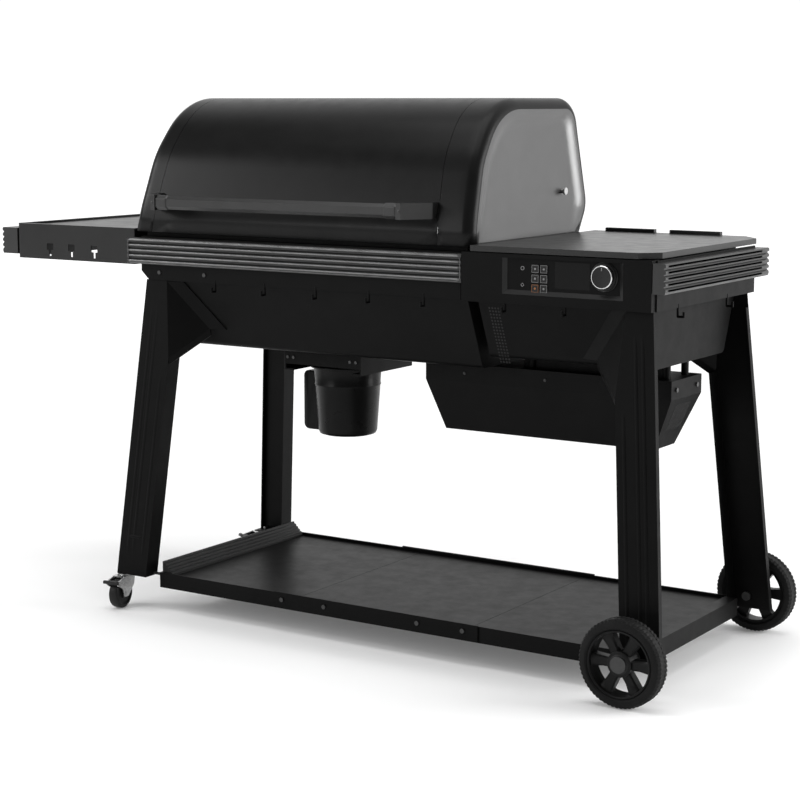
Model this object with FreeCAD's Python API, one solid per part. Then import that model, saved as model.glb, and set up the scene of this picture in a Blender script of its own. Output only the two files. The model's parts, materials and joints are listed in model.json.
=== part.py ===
import FreeCAD, Part
import math
import os

# Pellet smoker grill on four splayed legs: a barrel with a swinging lid, a pellet hopper with its
# controls on the right, a side shelf on the left, a bottom shelf, two wheels and two casters.
# Millimetres. While it is laid out, X runs right from the left end of the front rail, Y runs back
# from the front rail's face and Z runs up from the ground. When it is saved, everything is moved
# so that the origin is the centre of the base of the overall box.

Vector = FreeCAD.Vector
X_AXIS = Vector(1, 0, 0)
Y_AXIS = Vector(0, 1, 0)
Z_AXIS = Vector(0, 0, 1)

# ---------------------------------------------------------------- driving dimensions
lid_w = 913.0            # lid, over its end caps
lid_depth = 542.0        # lid, front bottom edge to its rearmost point
lid_h = 304.0            # lid, bottom edge to top
lid_lean = 25.0          # how far each end leans inwards over the height
end_roll_r = 24.0        # rolled edge round each end
seam_left = 57.0         # from the lid's ends to the seams of its pressed end caps
seam_right = 82.0
frame_d = 505.0          # cart frame, front leg plane to rear leg plane
rail_top = 873.0         # top of the three ribbed rails above the ground
rail_h = 60.0
rail_t = 16.0
side_rail_t = 28.0
hopper_w = 420.0         # hopper end, from the lid to the right frame plate
side_shelf_w = 374.0
side_shelf_skirt = 84.0
left_rail_w = 49.0
sheet = 3.0              # frame and leg sheet
thin = 2.5               # covers and linings
tub_h = 254.0            # barrel, underside to the rail top
tub_bottom_d = 317.0
tub_top_d = 447.0
tub_slope_h = 153.0      # height of the sloping lower walls
skirt_h = 100.0          # frame beams
leg_plate_w = 88.0
leg_flange = 42.0
leg_lip = 14.0
leg_splay_left = 64.0    # how far a left foot stands outside its top, sideways
leg_splay_right = 56.0
leg_splay_y = 56.0       # and forwards or backwards
leg_fold_w = 60.0        # flat top of a leg, up to the fold of its gusset
knee_reach = 87.0        # gusset at the top of each leg
knee_h = 110.0
knee_drop = 176.0        # fold top down to where the fold meets the inner edge
flap_w = 38.0
wheel_d = 181.0
wheel_w = 45.0
rim_d = 126.0
axle_d = 12.0
caster_d = 71.0
caster_w = 24.0
caster_trail = 24.0
stem_d = 10.0
shelf_floor_z = 80.0
shelf_skirt_h = 36.0
pivot_pin_d = 10.0
keg_top_d = 158.0
keg_bottom_d = 137.0
keg_h = 162.0
keg_grip_reach = 118.0   # from the keg's middle to the end of its grip
bracket_w = 212.0
handle_w = 649.0
handle_h = 30.0
handle_d = 22.0
auger_tube_d = 62.0
auger_flight_d = 52.0
auger_shaft_d = 16.0
auger_pitch = 45.0
pot_d = 120.0
knob_d = 48.0
button_size = 16.0
button_pitch = 20.0
fan_d = 96.0
hopper_pin_d = 6.0

# clearances
running = 0.05           # radial, shafts and pins
slip = 0.3               # between faces that pass each other
gap = 1.0                # between neighbouring covers
lid_gap = 15.0           # lid's bottom edge above the rail top
sweep_gap = 4.0          # what stays clear of the lid's swing

# ---------------------------------------------------------------- levels and stations
lid_bottom = rail_top + lid_gap
lid_top = lid_bottom + lid_h
frame_bottom = rail_top - skirt_h + 3.0
frame_top = rail_top + 3.0
tub_bottom = rail_top - tub_h + 3.0
tub_knee_z = tub_bottom + tub_slope_h
mid_y = frame_d / 2

lid_x0 = 12.0
lid_x1 = lid_x0 + lid_w
hopper_x0 = lid_x1 + 3.0
right_x = lid_x1 + hopper_w
end_in = 22.0                          # barrel end plates, just inside the lid's caps
end_x0 = lid_x0 + end_in
end_x1 = lid_x1 - end_in
beam_x0 = end_x0 - sheet - gap

tub_y0 = 35.0
tub_y1 = tub_y0 + tub_top_d
tub_slope_y = (tub_top_d - tub_bottom_d) / 2
works_ahead = 6.0                      # spout, fire pot and auger stand this far ahead of the middle
works_y = tub_y0 + tub_top_d / 2 - works_ahead

# the lid turns on two side pins near its lower rear corner
lid_front = 9.0
lid_back = lid_front + lid_depth
pivot = (lid_back - 122.0, lid_bottom + 98.0)        # y, z

leg_run_h = 706.0                                     # height the splay is spread over
leg_slope = leg_splay_y / leg_run_h
brace_h = 15.0                                        # turned edge below a leg's gusset
brace_back = 4.0
leg_top_z = frame_bottom + 60.0
leg_plane_top = 20.0                                  # front leg's plate at the frame's underside
leg_left_x = 44.0                                     # outer edges of the legs at the top
leg_right_x = right_x - 8.0
wheel_x = right_x - 9.0
wheel_z = wheel_d / 2
caster_leg_bottom = 79.0
wheel_leg_bottom = 62.0

left_x = -side_shelf_w - 2.0 - left_rail_w
wheel_gap = 27.0                                      # leg plate to wheel
foot_y = leg_plane_top - leg_slope * (frame_bottom + 12.0 - wheel_z)
wheel_y1 = foot_y - wheel_gap
wheel_y0 = wheel_y1 - wheel_w
origin_x = (left_x + wheel_x + wheel_d / 2) / 2
origin_y = mid_y


# ---------------------------------------------------------------- shape helpers
def box(x0, y0, z0, x1, y1, z1):
    return Part.makeBox(x1 - x0, y1 - y0, z1 - z0, Vector(x0, y0, z0))


def rod(radius, start, end):
    start, end = Vector(*start), Vector(*end)
    return Part.makeCylinder(radius, (end - start).Length, start, end - start)


def tube(outer, inner, start, end):
    return rod(outer, start, end).cut(rod(inner, start, end))


def corner_arc(before, corner, after, radius):
    """Tangent points and middle of the arc that rounds a corner."""
    u = (before - corner).normalize()
    v = (after - corner).normalize()
    half = u.getAngle(v) / 2
    back = radius / math.tan(half)
    centre = corner + (u + v).normalize() * (radius / math.sin(half))
    start, end = corner + u * back, corner + v * back
    middle = centre + (corner - centre).normalize() * radius
    return start, middle, end


def outline(points):
    """Closed wire through Vectors, each with a corner radius (0 for a sharp corner)."""
    edges, count, ends = [], len(points), []
    for i, (corner, radius) in enumerate(points):
        if radius > 0:
            arc = corner_arc(points[i - 1][0], corner, points[(i + 1) % count][0], radius)
            ends.append((arc[0], arc[2]))
            edges.append(Part.Arc(*arc).toShape())
        else:
            ends.append((corner, corner))
    for i in range(count):
        start, end = ends[i - 1][1], ends[i][0]
        if (end - start).Length > 1e-6:
            edges.append(Part.makeLine(start, end))
    return Part.Wire(Part.__sortEdges__(edges))


def prism(points, place, direction):
    """Solid from flat points (a, b[, radius]); place turns a and b into a Vector."""
    corners = [(place(p[0], p[1]), p[2] if len(p) > 2 else 0) for p in points]
    return Part.Face(outline(corners)).extrude(direction)


def prism_x(points, x0, x1):
    return prism(points, lambda y, z: Vector(x0, y, z), Vector(x1 - x0, 0, 0))


def prism_y(points, y0, y1):
    return prism(points, lambda x, z: Vector(x, y0, z), Vector(0, y1 - y0, 0))


def prism_z(points, z0, z1):
    return prism(points, lambda x, y: Vector(x, y, z0), Vector(0, 0, z1 - z0))


def inset(points, distance, skip=()):
    """Convex outline moved inwards; the sides listed in skip stay where they are."""
    count, lines = len(points), []
    area = sum(points[i - 1][0] * points[i][1] - points[i][0] * points[i - 1][1] for i in range(count))
    turn = 1 if area > 0 else -1
    for i in range(count):
        (a, b), (c, d) = points[i][:2], points[(i + 1) % count][:2]
        length = math.hypot(c - a, d - b)
        move = 0 if i in skip else distance
        na, nb = -(d - b) / length * turn, (c - a) / length * turn
        lines.append((a + na * move, b + nb * move, c - a, d - b))
    result = []
    for i in range(count):
        a, b, da, db = lines[i - 1]
        c, d, dc, dd = lines[i]
        t = ((c - a) * dd - (d - b) * dc) / (da * dd - db * dc)
        radius = points[i][2] if len(points[i]) > 2 else 0
        result.append((a + da * t, b + db * t, max(radius - distance, 0)))
    return result


def mirror_y(shape):
    return shape.mirror(Vector(0, mid_y, 0), Y_AXIS)


def loft(low, high):
    """Straight-sided solid between two flat polygons of Vectors."""
    wires = [Part.makePolygon(list(ring) + [ring[0]]) for ring in (low, high)]
    return Part.makeLoft(wires, True, True)


def rectangle(x0, y0, x1, y1, z):
    return [Vector(x0, y0, z), Vector(x1, y0, z), Vector(x1, y1, z), Vector(x0, y1, z)]


def group(solids):
    flat = []
    for item in solids:
        flat.extend(item.Solids)
    return Part.makeCompound(flat)


def fuse(first, *others):
    return first.fuse(list(others)).removeSplitter()


def screw_head(radius, height, at, direction):
    """Low button head standing on a surface."""
    return Part.makeCylinder(radius, height, Vector(*at), Vector(*direction))


# ---------------------------------------------------------------- legs
def leg_outer_x(side, z):
    """Outer edge of a leg's plate at a height; side is -1 for left and 1 for right."""
    part = (frame_bottom + 12.0 - z) / leg_run_h
    if side < 0:
        return leg_left_x - leg_splay_left * part
    return leg_right_x + leg_splay_right * part


def front_plane_y(z):
    return leg_plane_top - leg_slope * (frame_bottom + 12.0 - z)


def across(y, rear):
    """The same place on the front or on the rear side of the cart."""
    return frame_d - y if rear else y


def slanted(points, depth0, depth1, rear):
    """Plate in a leg's leaning plane, from points (x, z)."""
    ring = []
    for depth in (depth0, depth1):
        ring.append([Vector(x, across(front_plane_y(z) + depth, rear), z) for x, z in points])
    return loft(ring[0], ring[1])


def tub_face(z, rear):
    """Depth of the barrel's sloping wall behind the leg datum at a height."""
    start = frame_d - tub_y1 if rear else tub_y0
    return start + tub_slope_y * (tub_knee_z - z) / tub_slope_h


def sheet_piece(corners, rear):
    """Flat piece of leg sheet, from points (x, depth, z) in one plane."""
    ring = [Vector(x, across(depth, rear), z) for x, depth, z in corners]
    thick = Vector(0, across(sheet, rear) - across(0, rear), 0)
    return Part.Face(Part.makePolygon(ring + ring[:1])).extrude(thick)


def leg(side, rear, foot_z, tab):
    """Leaning sheet leg: plate, inner flange, outer lip, bent gusset and bolting flap."""
    inward = -side

    def outer(z):
        return leg_outer_x(side, z)

    def inner(z):
        return outer(z) + inward * leg_plate_w

    fold_z = frame_bottom - 2.0
    low_z = fold_z - knee_drop
    tip_z = fold_z - knee_h
    fold_x = outer(fold_z) + inward * leg_fold_w
    margin = tub_face(fold_z, rear) - front_plane_y(fold_z)
    fold_top = (fold_x, front_plane_y(fold_z), fold_z)
    fold_low = (inner(low_z), front_plane_y(low_z), low_z)
    tip = (fold_x + inward * knee_reach, tub_face(tip_z, rear) - margin, tip_z)
    step = inward * sheet
    plate = slanted([(outer(foot_z), foot_z), (outer(frame_bottom), frame_bottom), (fold_x, frame_bottom),
                     (fold_x, fold_z), (inner(low_z), low_z), (inner(foot_z), foot_z)], 0, sheet, rear)
    flange = slanted([(inner(foot_z), foot_z), (inner(low_z), low_z),
                      (inner(low_z) - step, low_z), (inner(foot_z) - step, foot_z)],
                     sheet / 2, leg_flange, rear)
    lip_z = fold_z - 30.0
    lip = slanted([(outer(foot_z), foot_z), (outer(lip_z), lip_z),
                   (outer(lip_z) + step, lip_z), (outer(foot_z) + step, foot_z)],
                  sheet / 2, leg_lip, rear)
    gusset = sheet_piece([fold_top, fold_low, tip], rear)
    flap_rise = margin - sheet - gap / 2
    flap = sheet_piece([fold_top, tip, (tip[0] + inward * flap_w, tip[1] + flap_rise, tip[2]),
                        (fold_top[0] + inward * flap_w, fold_top[1] + flap_rise, fold_top[2])], rear)
    brace = sheet_piece([fold_low, tip, (tip[0], tip[1] + brace_back, tip[2] - brace_h),
                         (fold_low[0], fold_low[1] + brace_back, fold_low[2] - brace_h)], rear)
    pieces = [gusset, flap, brace, flange, lip]
    if tab:
        y0 = across(front_plane_y(frame_bottom), rear)
        y1 = across(front_plane_y(frame_bottom) + sheet, rear)
        x0, x1 = sorted((outer(frame_bottom) + inward * 12.0, fold_x))
        pieces.append(box(x0, min(y0, y1), frame_bottom - 4.0, x1, max(y0, y1), leg_top_z))
    return fuse(plate, *pieces)


def with_caster_seat(shape, stem, rear):
    """Level plate inside a left leg's channel that carries a caster's stem."""
    z = seat_z
    y0 = across(front_plane_y(z) + sheet / 2, rear)
    y1 = across(front_plane_y(z) + leg_flange, rear)
    plate = box(leg_outer_x(-1, z) + sheet / 2, min(y0, y1), z, leg_outer_x(-1, z) + leg_plate_w - sheet / 2,
                max(y0, y1), z + sheet)
    return fuse(shape, plate).cut(rod(stem_d / 2 + running, (stem[0], stem[1], z - 2), (stem[0], stem[1], z + 6)))


caster_x = -5.0
seat_z = caster_leg_bottom
stem_front = (caster_x, front_plane_y(seat_z) + sheet + 10.5)
stem_rear = (caster_x, frame_d - stem_front[1])
axle_hole = rod(axle_d / 2, (wheel_x, wheel_y0, wheel_z), (wheel_x, frame_d - wheel_y0, wheel_z))

leg_front_left = with_caster_seat(leg(-1, False, caster_leg_bottom, True), stem_front, False)
leg_rear_left = with_caster_seat(leg(-1, True, caster_leg_bottom, True), stem_rear, True)
leg_front_right = leg(1, False, wheel_leg_bottom, False).cut(axle_hole)
leg_rear_right = leg(1, True, wheel_leg_bottom, True).cut(axle_hole)

# ---------------------------------------------------------------- cart frame and rails
beam_y0 = rail_t
front_beam = fuse(
    prism_y([(beam_x0 + 22.0, frame_bottom), (lid_x1 - 28.0, frame_bottom), (lid_x1 - 28.0, frame_top),
             (beam_x0, frame_top), (beam_x0, frame_bottom + 20.0)], beam_y0, beam_y0 + sheet),
    box(beam_x0, beam_y0 + sheet, frame_top - sheet, lid_x1 - 28.0, tub_y0 - gap, frame_top))
rear_top = rail_top - 5.0
rear_beam = box(beam_x0, frame_d - sheet, frame_bottom, right_x - sheet, frame_d, rear_top)
left_beam = box(beam_x0, beam_y0 + sheet, frame_bottom + 20.0, beam_x0 + sheet, frame_d - sheet, rear_top - 15.0)
right_beam = box(right_x - sheet, beam_y0 + sheet, frame_bottom, right_x, frame_d, frame_top + 1.0)

vent_count = 5
vent_w = 110.0
vent_pitch = 160.0
vent_x0 = leg_left_x + leg_fold_w + 3.0                # clear of the rear leg's top
vents = [box(vent_x0 + i * vent_pitch, tub_y1 - 10.0, rail_top - 75.0,
             vent_x0 + i * vent_pitch + vent_w, frame_d + 5.0, rail_top - 55.0)
         for i in range(vent_count)]
inlet_x0 = right_x - 175.0
inlet_w = 105.0
frame_beams = group([front_beam, rear_beam.cut(vents), left_beam, right_beam])


def rail_profile(top, height, face, depth, ridges=5):
    """Ribbed rail section: rounded ridges along one face; face and depth run along one axis."""
    pitch = height / ridges
    points = [(face + depth, top), (face + 2.0, top)]
    for i in range(ridges):
        high = top - i * pitch
        points += [(face, high - 0.22 * pitch), (face, high - 0.62 * pitch), (face + 4.0, high - 0.74 * pitch),
                   (face + 4.0, high - 0.92 * pitch)]
    points = points[:-2] + [(face + 2.0, top - height), (face + depth, top - height)]
    return points


rail_front = prism_x(rail_profile(rail_top, rail_h, 0.0, rail_t), 0.0, lid_x1 - 18.0)
right_rail = prism_y([(right_x + side_rail_t - (p[0]), p[1])
                      for p in rail_profile(rail_top, rail_h, 0.0, side_rail_t)], -3.0, frame_d + 11.0)
left_rail = prism_y([(left_x + p[0], p[1]) for p in rail_profile(rail_top + 7.0, rail_h + 3.0, 0.0, left_rail_w)],
                    30.0, frame_d + 5.0)
side_rails = group([left_rail, right_rail])

# ---------------------------------------------------------------- side shelf
shelf_x0 = left_x + left_rail_w
shelf_x1 = -2.0
shelf_top = rail_top + 19.0
shelf_outer = prism_z([(shelf_x0, 30.0, 10.0), (shelf_x1, 30.0), (shelf_x1, frame_d + 7.0),
                       (shelf_x0, frame_d + 7.0, 10.0)], shelf_top - side_shelf_skirt, shelf_top)
shelf_inside = box(shelf_x0 + thin, 30.0 + thin, shelf_top - side_shelf_skirt - 1, shelf_x1 - thin,
                   frame_d + 7.0 - thin, shelf_top - 8.0)
shelf_recess = box(shelf_x0 + 12.0, 42.0, shelf_top - 5.0, shelf_x1 - 12.0, frame_d - 5.0, shelf_top + 1)
slots = []
for slot_x in (-269.0, -200.0, -128.0):
    slots.append(box(slot_x - 10.0, 25.0, shelf_top - 62.0, slot_x + 10.0, 36.0, shelf_top - 46.0))
    slots.append(box(slot_x - 3.5, 25.0, shelf_top - 76.0, slot_x + 3.5, 36.0, shelf_top - 60.0))
shelf_arms = [box(shelf_x1, y, frame_bottom + 24.0, beam_x0, y + 30.0, frame_bottom + 80.0)
              for y in (60.0, frame_d - 90.0)]
side_shelf = fuse(shelf_outer.cut([shelf_inside, shelf_recess] + slots), *shelf_arms)

# ---------------------------------------------------------------- barrel
tub_outline = [(tub_y0, lid_bottom + 8.0), (tub_y0, tub_knee_z, 20.0), (tub_y0 + tub_slope_y, tub_bottom, 15.0),
               (tub_y1 - tub_slope_y, tub_bottom, 15.0), (tub_y1, tub_knee_z, 20.0), (tub_y1, lid_bottom + 8.0)]
pot_x = lid_x1 - 125.0
auger_z = tub_bottom + 68.0
spout_x = lid_x0 + 436.0
tub_wall = prism_x(tub_outline, end_x0 + sheet, end_x1 - sheet).cut(
    prism_x(inset(tub_outline, thin, skip=(5,)), end_x0, end_x1))
tub_wall = tub_wall.cut(box(end_x0, tub_y1 - 20.0, rear_top - 4.0, end_x1, tub_y1 + 5.0, lid_top))
grate_z = rear_top - 30.0
tray_z = grate_z - 52.0
ledges = [box(end_x0 + sheet, tub_y0 + thin, z - sheet, end_x1 - sheet, tub_y0 + 24.0, z)
          for z in (grate_z, tray_z)]
ledges += [box(end_x0 + sheet, tub_y1 - 24.0, z - sheet, end_x1 - sheet, tub_y1 - thin, z)
           for z in (grate_z, tray_z)]
spout = rod(15.0, (spout_x, works_y, tub_bottom - 22.0), (spout_x, works_y, tub_bottom + 2.0))
tub_shell = fuse(tub_wall, spout, *ledges).cut(
    vents + [rod(12.0, (spout_x, works_y, tub_bottom - 30.0), (spout_x, works_y, tub_bottom + 9.0)),
             rod(45.0, (pot_x, works_y, tub_bottom - 5.0), (pot_x, works_y, tub_bottom + 5.0))])

sweep_r = 132.5 + sweep_gap
arm_r = 18.0


def tub_end(x0, x1):
    """End plate of the barrel with a notch for the lid's rear edge and an arm up to the pin."""
    py, pz = pivot
    plate = prism_x(tub_outline, x0, x1)
    plate = plate.cut(box(x0 - 1, tub_y0 + 230.0, rear_top, x1 + 1, tub_y1 + 5.0, lid_top))
    plate = plate.cut(rod(sweep_r, (x0 - 1, py, pz), (x1 + 1, py, pz)))
    arm = prism_x([(py - 200.0, lid_bottom - 6.0), (py - 200.0, lid_bottom + 4.0), (py - 12.0, pz + arm_r),
                   (py + 4.0, pz - arm_r), (py - 104.0, lid_bottom + 3.0), (py - 118.0, lid_bottom - 22.0),
                   (py - 200.0, lid_bottom - 22.0)], x0, x1)
    boss = rod(arm_r, (x0, py, pz), (x1, py, pz))
    return fuse(plate, arm, boss)


pin_r = pivot_pin_d / 2
pin_hole = rod(pin_r, (lid_x0 - 20, *pivot), (lid_x1 + 20, *pivot))
tube_hole = rod(auger_tube_d / 2, (end_x1 - 20, works_y, auger_z), (end_x1 + 80, works_y, auger_z))
tub_ends = group([tub_end(end_x0, end_x0 + sheet).cut(pin_hole),
                  tub_end(end_x1 - sheet, end_x1).cut([pin_hole, tube_hole])])

duct_y1 = frame_d + 52.0
duct_outer = prism_x([(frame_d, tub_bottom + 75.0), (frame_d, rear_top), (duct_y1, rear_top),
                      (duct_y1, tub_bottom + 110.0, 8.0)], lid_x0 + 48.0, lid_x1 - 45.0)
duct_inner = prism_x([(frame_d + 2.0, tub_bottom + 80.0), (frame_d + 2.0, rear_top - 2.0),
                      (duct_y1 - 2.0, rear_top - 2.0), (duct_y1 - 2.0, tub_bottom + 112.0, 6.0)],
                     lid_x0 + 50.0, lid_x1 - 47.0)
duct_slot = box(lid_x0 + 70.0, frame_d + 14.0, rear_top - 5.0, lid_x1 - 67.0, duct_y1 - 12.0, rear_top + 5.0)
exhaust_duct = duct_outer.cut([duct_inner, duct_slot] + vents)


# ---------------------------------------------------------------- inside the barrel
def slotted_grate(x0, x1):
    y0, y1 = tub_y0 + 8.0, tub_y1 - 8.0
    plate = box(x0, y0, grate_z, x1, y1, grate_z + 8.0)
    count = int((x1 - x0 - 20.0) // 20.0)
    pitch = (x1 - x0 - 12.0) / count
    slot_d = (y1 - y0) / 2 - 18.0
    cuts = [box(x0 + 12.0 + i * pitch, y, grate_z - 1, x0 + (i + 1) * pitch, y + slot_d, grate_z + 9.0)
            for i in range(count) for y in (y0 + 12.0, works_y + 20.0)]
    return plate.cut(cuts)


inside_x0 = end_x0 + sheet + 4.0
inside_x1 = end_x1 - sheet - 4.0
inside_mid = (inside_x0 + inside_x1) / 2
cooking_grates = group([slotted_grate(inside_x0, inside_mid - 2.0), slotted_grate(inside_mid + 2.0, inside_x1)])

rack_z = grate_z + 150.0
rack_y0, rack_y1 = tub_y0 + 95.0, tub_y0 + 250.0
rack_bar_pitch = (rack_y1 - rack_y0) / 8
rack_bars = [rod(3.0, (inside_x0 + 20.5, rack_y0 + i * rack_bar_pitch, rack_z),
                 (inside_x1 - 20.5, rack_y0 + i * rack_bar_pitch, rack_z)) for i in range(9)]
rack_ends = []
for x in (inside_x0 + 22.0, inside_mid - 8.0, inside_x1 - 22.0):
    rack_ends.append(rod(4.5, (x, rack_y0 - 6.0, rack_z), (x, rack_y1 + 6.0, rack_z)))
    for y in (rack_y0 + rack_bar_pitch / 2, rack_y1 - rack_bar_pitch / 2):
        rack_ends.append(rod(4.0, (x, y, grate_z + 8.0), (x, y, rack_z + 1.0)))
upper_rack = fuse(rack_bars[0], *(rack_bars[1:] + rack_ends))

tray_y0, tray_y1 = tub_y0 + 14.0, tub_y1 - 14.0
drip_tray = box(inside_x0, tray_y0, tray_z, inside_x1, tray_y1, tray_z + 14.0).cut(
    [box(inside_x0 + 2.0, tray_y0 + 2.0, tray_z + 2.0, inside_x1 - 2.0, tray_y1 - 2.0, tray_z + 15.0),
     rod(16.0, (spout_x, works_y, tray_z - 1), (spout_x, works_y, tray_z + 3))])

baffle_x0, baffle_x1 = pot_x - 130.0, inside_x1 - 6.0
baffle_z = tray_z - 48.0
baffle_plate = prism_x([(works_y - 120.0, baffle_z), (works_y, baffle_z + 28.0), (works_y + 120.0, baffle_z),
                        (works_y + 120.0, baffle_z + thin), (works_y, baffle_z + 28.0 + thin),
                        (works_y - 120.0, baffle_z + thin)], baffle_x0, baffle_x1)
baffle_legs = [box(x, y, tub_bottom + thin, x + 12.0, y + thin, baffle_z + 1.0)
               for x in (baffle_x0, baffle_x1 - 12.0) for y in (works_y - 120.0, works_y + 120.0 - thin)]
heat_baffle = fuse(baffle_plate, *baffle_legs)

pot_r = pot_d / 2
pot_z0 = tub_bottom + thin
pot_outer = rod(pot_r, (pot_x, works_y, pot_z0), (pot_x, works_y, pot_z0 + 108.0))
pot_bore = rod(pot_r - thin, (pot_x, works_y, pot_z0 + 6.0), (pot_x, works_y, pot_z0 + 109.0))
pot_feed = rod(auger_tube_d / 2, (pot_x, works_y, auger_z), (pot_x + pot_r + 5, works_y, auger_z))
igniter_r = 5.0
igniter_hole = rod(igniter_r, (pot_x, works_y - pot_r - 5, pot_z0 + 22.0), (pot_x, works_y, pot_z0 + 22.0))
air_hole = rod(24.0, (pot_x, works_y, pot_z0 - 1), (pot_x, works_y, pot_z0 + 7.0))
fire_pot = pot_outer.cut([pot_bore, pot_feed, igniter_hole, air_hole])
igniter = rod(igniter_r, (pot_x, works_y - pot_r - 45.0, pot_z0 + 22.0), (pot_x, works_y - pot_r + 12.0, pot_z0 + 22.0))
probe_y, probe_z = tub_y0 + 65.0, rear_top + 6.0
temperature_probe = fuse(rod(3.0, (end_x1 - 65.0, probe_y, probe_z), (end_x1 - sheet, probe_y, probe_z)),
                         rod(8.0, (end_x1 - sheet - 5.0, probe_y, probe_z), (end_x1 - sheet, probe_y, probe_z)))

# ---------------------------------------------------------------- pellet feed
auger_x0 = pot_x + pot_r - 8.0
motor_x0 = right_x - 127.0
feed_x = (hopper_x0 + motor_x0) / 2 + 60.0
feed_half = 38.0
tube_bore_r = auger_tube_d / 2 - 3.0
auger_tube = tube(auger_tube_d / 2, tube_bore_r, (auger_x0, works_y, auger_z), (motor_x0, works_y, auger_z)).cut(
    box(feed_x - feed_half, works_y - 20.0, auger_z, feed_x + feed_half, works_y + 20.0, auger_z + 50.0))


def auger(radius, shaft_r, pitch, x0, x1):
    """Helical flight on a shaft: a thin blade swept round the axis."""
    shaft = rod(shaft_r, (x0 - 6.0, works_y, auger_z), (x1 + 22.0, works_y, auger_z))
    helix = Part.makeHelix(pitch, x1 - x0, shaft_r)
    blade = Part.makePolygon([Vector(shaft_r - 1.5, 0, -2.0), Vector(radius, 0, -1.2), Vector(radius, 0, 1.2),
                              Vector(shaft_r - 1.5, 0, 2.0), Vector(shaft_r - 1.5, 0, -2.0)])
    flight = Part.Wire(helix.Edges).makePipeShell([blade], True, True)
    flight.rotate(Vector(0, 0, 0), Y_AXIS, 90)
    flight.translate(Vector(x0, works_y, auger_z))
    return shaft.fuse(flight)


auger_screw = auger(auger_flight_d / 2, auger_shaft_d / 2, auger_pitch, auger_x0 + 10.0, motor_x0 - 24.0)
motor_hole = rod(auger_shaft_d / 2 + running, (motor_x0 - 1, works_y, auger_z), (motor_x0 + 30.0, works_y, auger_z))
auger_motor = fuse(box(motor_x0, works_y - 40.0, auger_z - 36.0, motor_x0 + 34.0, works_y + 40.0, auger_z + 44.0),
                   rod(30.0, (motor_x0 + 34.0, works_y, auger_z), (motor_x0 + 82.0, works_y, auger_z))).cut(motor_hole)

enclosure_x1 = right_x - 35.0
enclosure_bottom = tub_bottom + 28.0
enclosure_top = frame_top - 1.0
rise = enclosure_bottom - tub_bottom
lean = tub_slope_y * rise / tub_slope_h
enclosure_outline = [(tub_y0, enclosure_top), (tub_y0, tub_knee_z, 20.0),
                     (tub_y0 + tub_slope_y - lean, enclosure_bottom, 15.0),
                     (tub_y1 - tub_slope_y + lean, enclosure_bottom, 15.0),
                     (tub_y1, tub_knee_z, 20.0), (tub_y1, enclosure_top)]
hopper_enclosure = prism_x(enclosure_outline, hopper_x0, enclosure_x1).cut(
    [prism_x(inset(enclosure_outline, thin, skip=(5,)), hopper_x0 + thin, enclosure_x1 - thin),
     box(hopper_x0 + thin, tub_y0 + thin, enclosure_top - 5.0, enclosure_x1 - thin, tub_y1 - thin, enclosure_top + 5.0),
     tube_hole])

bin_x0, bin_x1 = hopper_x0 + 70.0, enclosure_x1 - 18.0
bin_y0, bin_y1 = tub_y0 + 60.0, tub_y1 - 45.0
bin_top = enclosure_top - 8.0
bin_low = auger_z + auger_tube_d / 2 + 2.0


def funnel(offset, extra):
    top = rectangle(bin_x0 + offset, bin_y0 + offset, bin_x1 - offset, bin_y1 - offset, bin_top + extra)
    low = rectangle(feed_x - feed_half - 4.0 + offset, works_y - 24.0 + offset,
                    feed_x + feed_half + 4.0 - offset, works_y + 24.0 - offset, bin_low - extra)
    return loft(low, top)


bin_flange = box(hopper_x0 + thin, tub_y0 + thin, bin_top - 2.0, enclosure_x1 - thin, tub_y1 - thin, bin_top)
hopper_bin = fuse(funnel(0.0, 0.0), bin_flange).cut(funnel(2.0, 0.5))

# ---------------------------------------------------------------- fan and its housing under the barrel
housing_top = tub_bottom - 5.0
housing_x0 = pot_x - 85.0
housing_y0 = tub_y0 + 135.0
housing_y1 = housing_y0 + 148.0
band_h = 40.0
taper_h = 111.0


def bin_shape(grow):
    band = box(housing_x0 + grow, housing_y0 + grow, housing_top - band_h, enclosure_x1 - grow,
               housing_y1 - grow, housing_top - grow)
    low = rectangle(housing_x0 + 38.0 + grow, housing_y0 + 25.0 + grow, enclosure_x1 - 48.0 - grow,
                    housing_y1 - 25.0 - grow, housing_top - band_h - taper_h + grow)
    high = rectangle(housing_x0 + grow, housing_y0 + grow, enclosure_x1 - grow, housing_y1 - grow,
                     housing_top - band_h)
    taper = loft(low, high)
    return fuse(band, taper)


posts = [rod(8.0, (x, y, housing_top), (x, y, enclosure_bottom))
         for x in (hopper_x0 + 40.0, enclosure_x1 - 25.0) for y in (housing_y0 + 30.0, housing_y1 - 30.0)]
drive_housing = fuse(bin_shape(0.0), *posts).cut(
    [bin_shape(thin), rod(32.0, (pot_x, works_y, housing_top - 10.0), (pot_x, works_y, housing_top + 5.0))])

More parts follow.
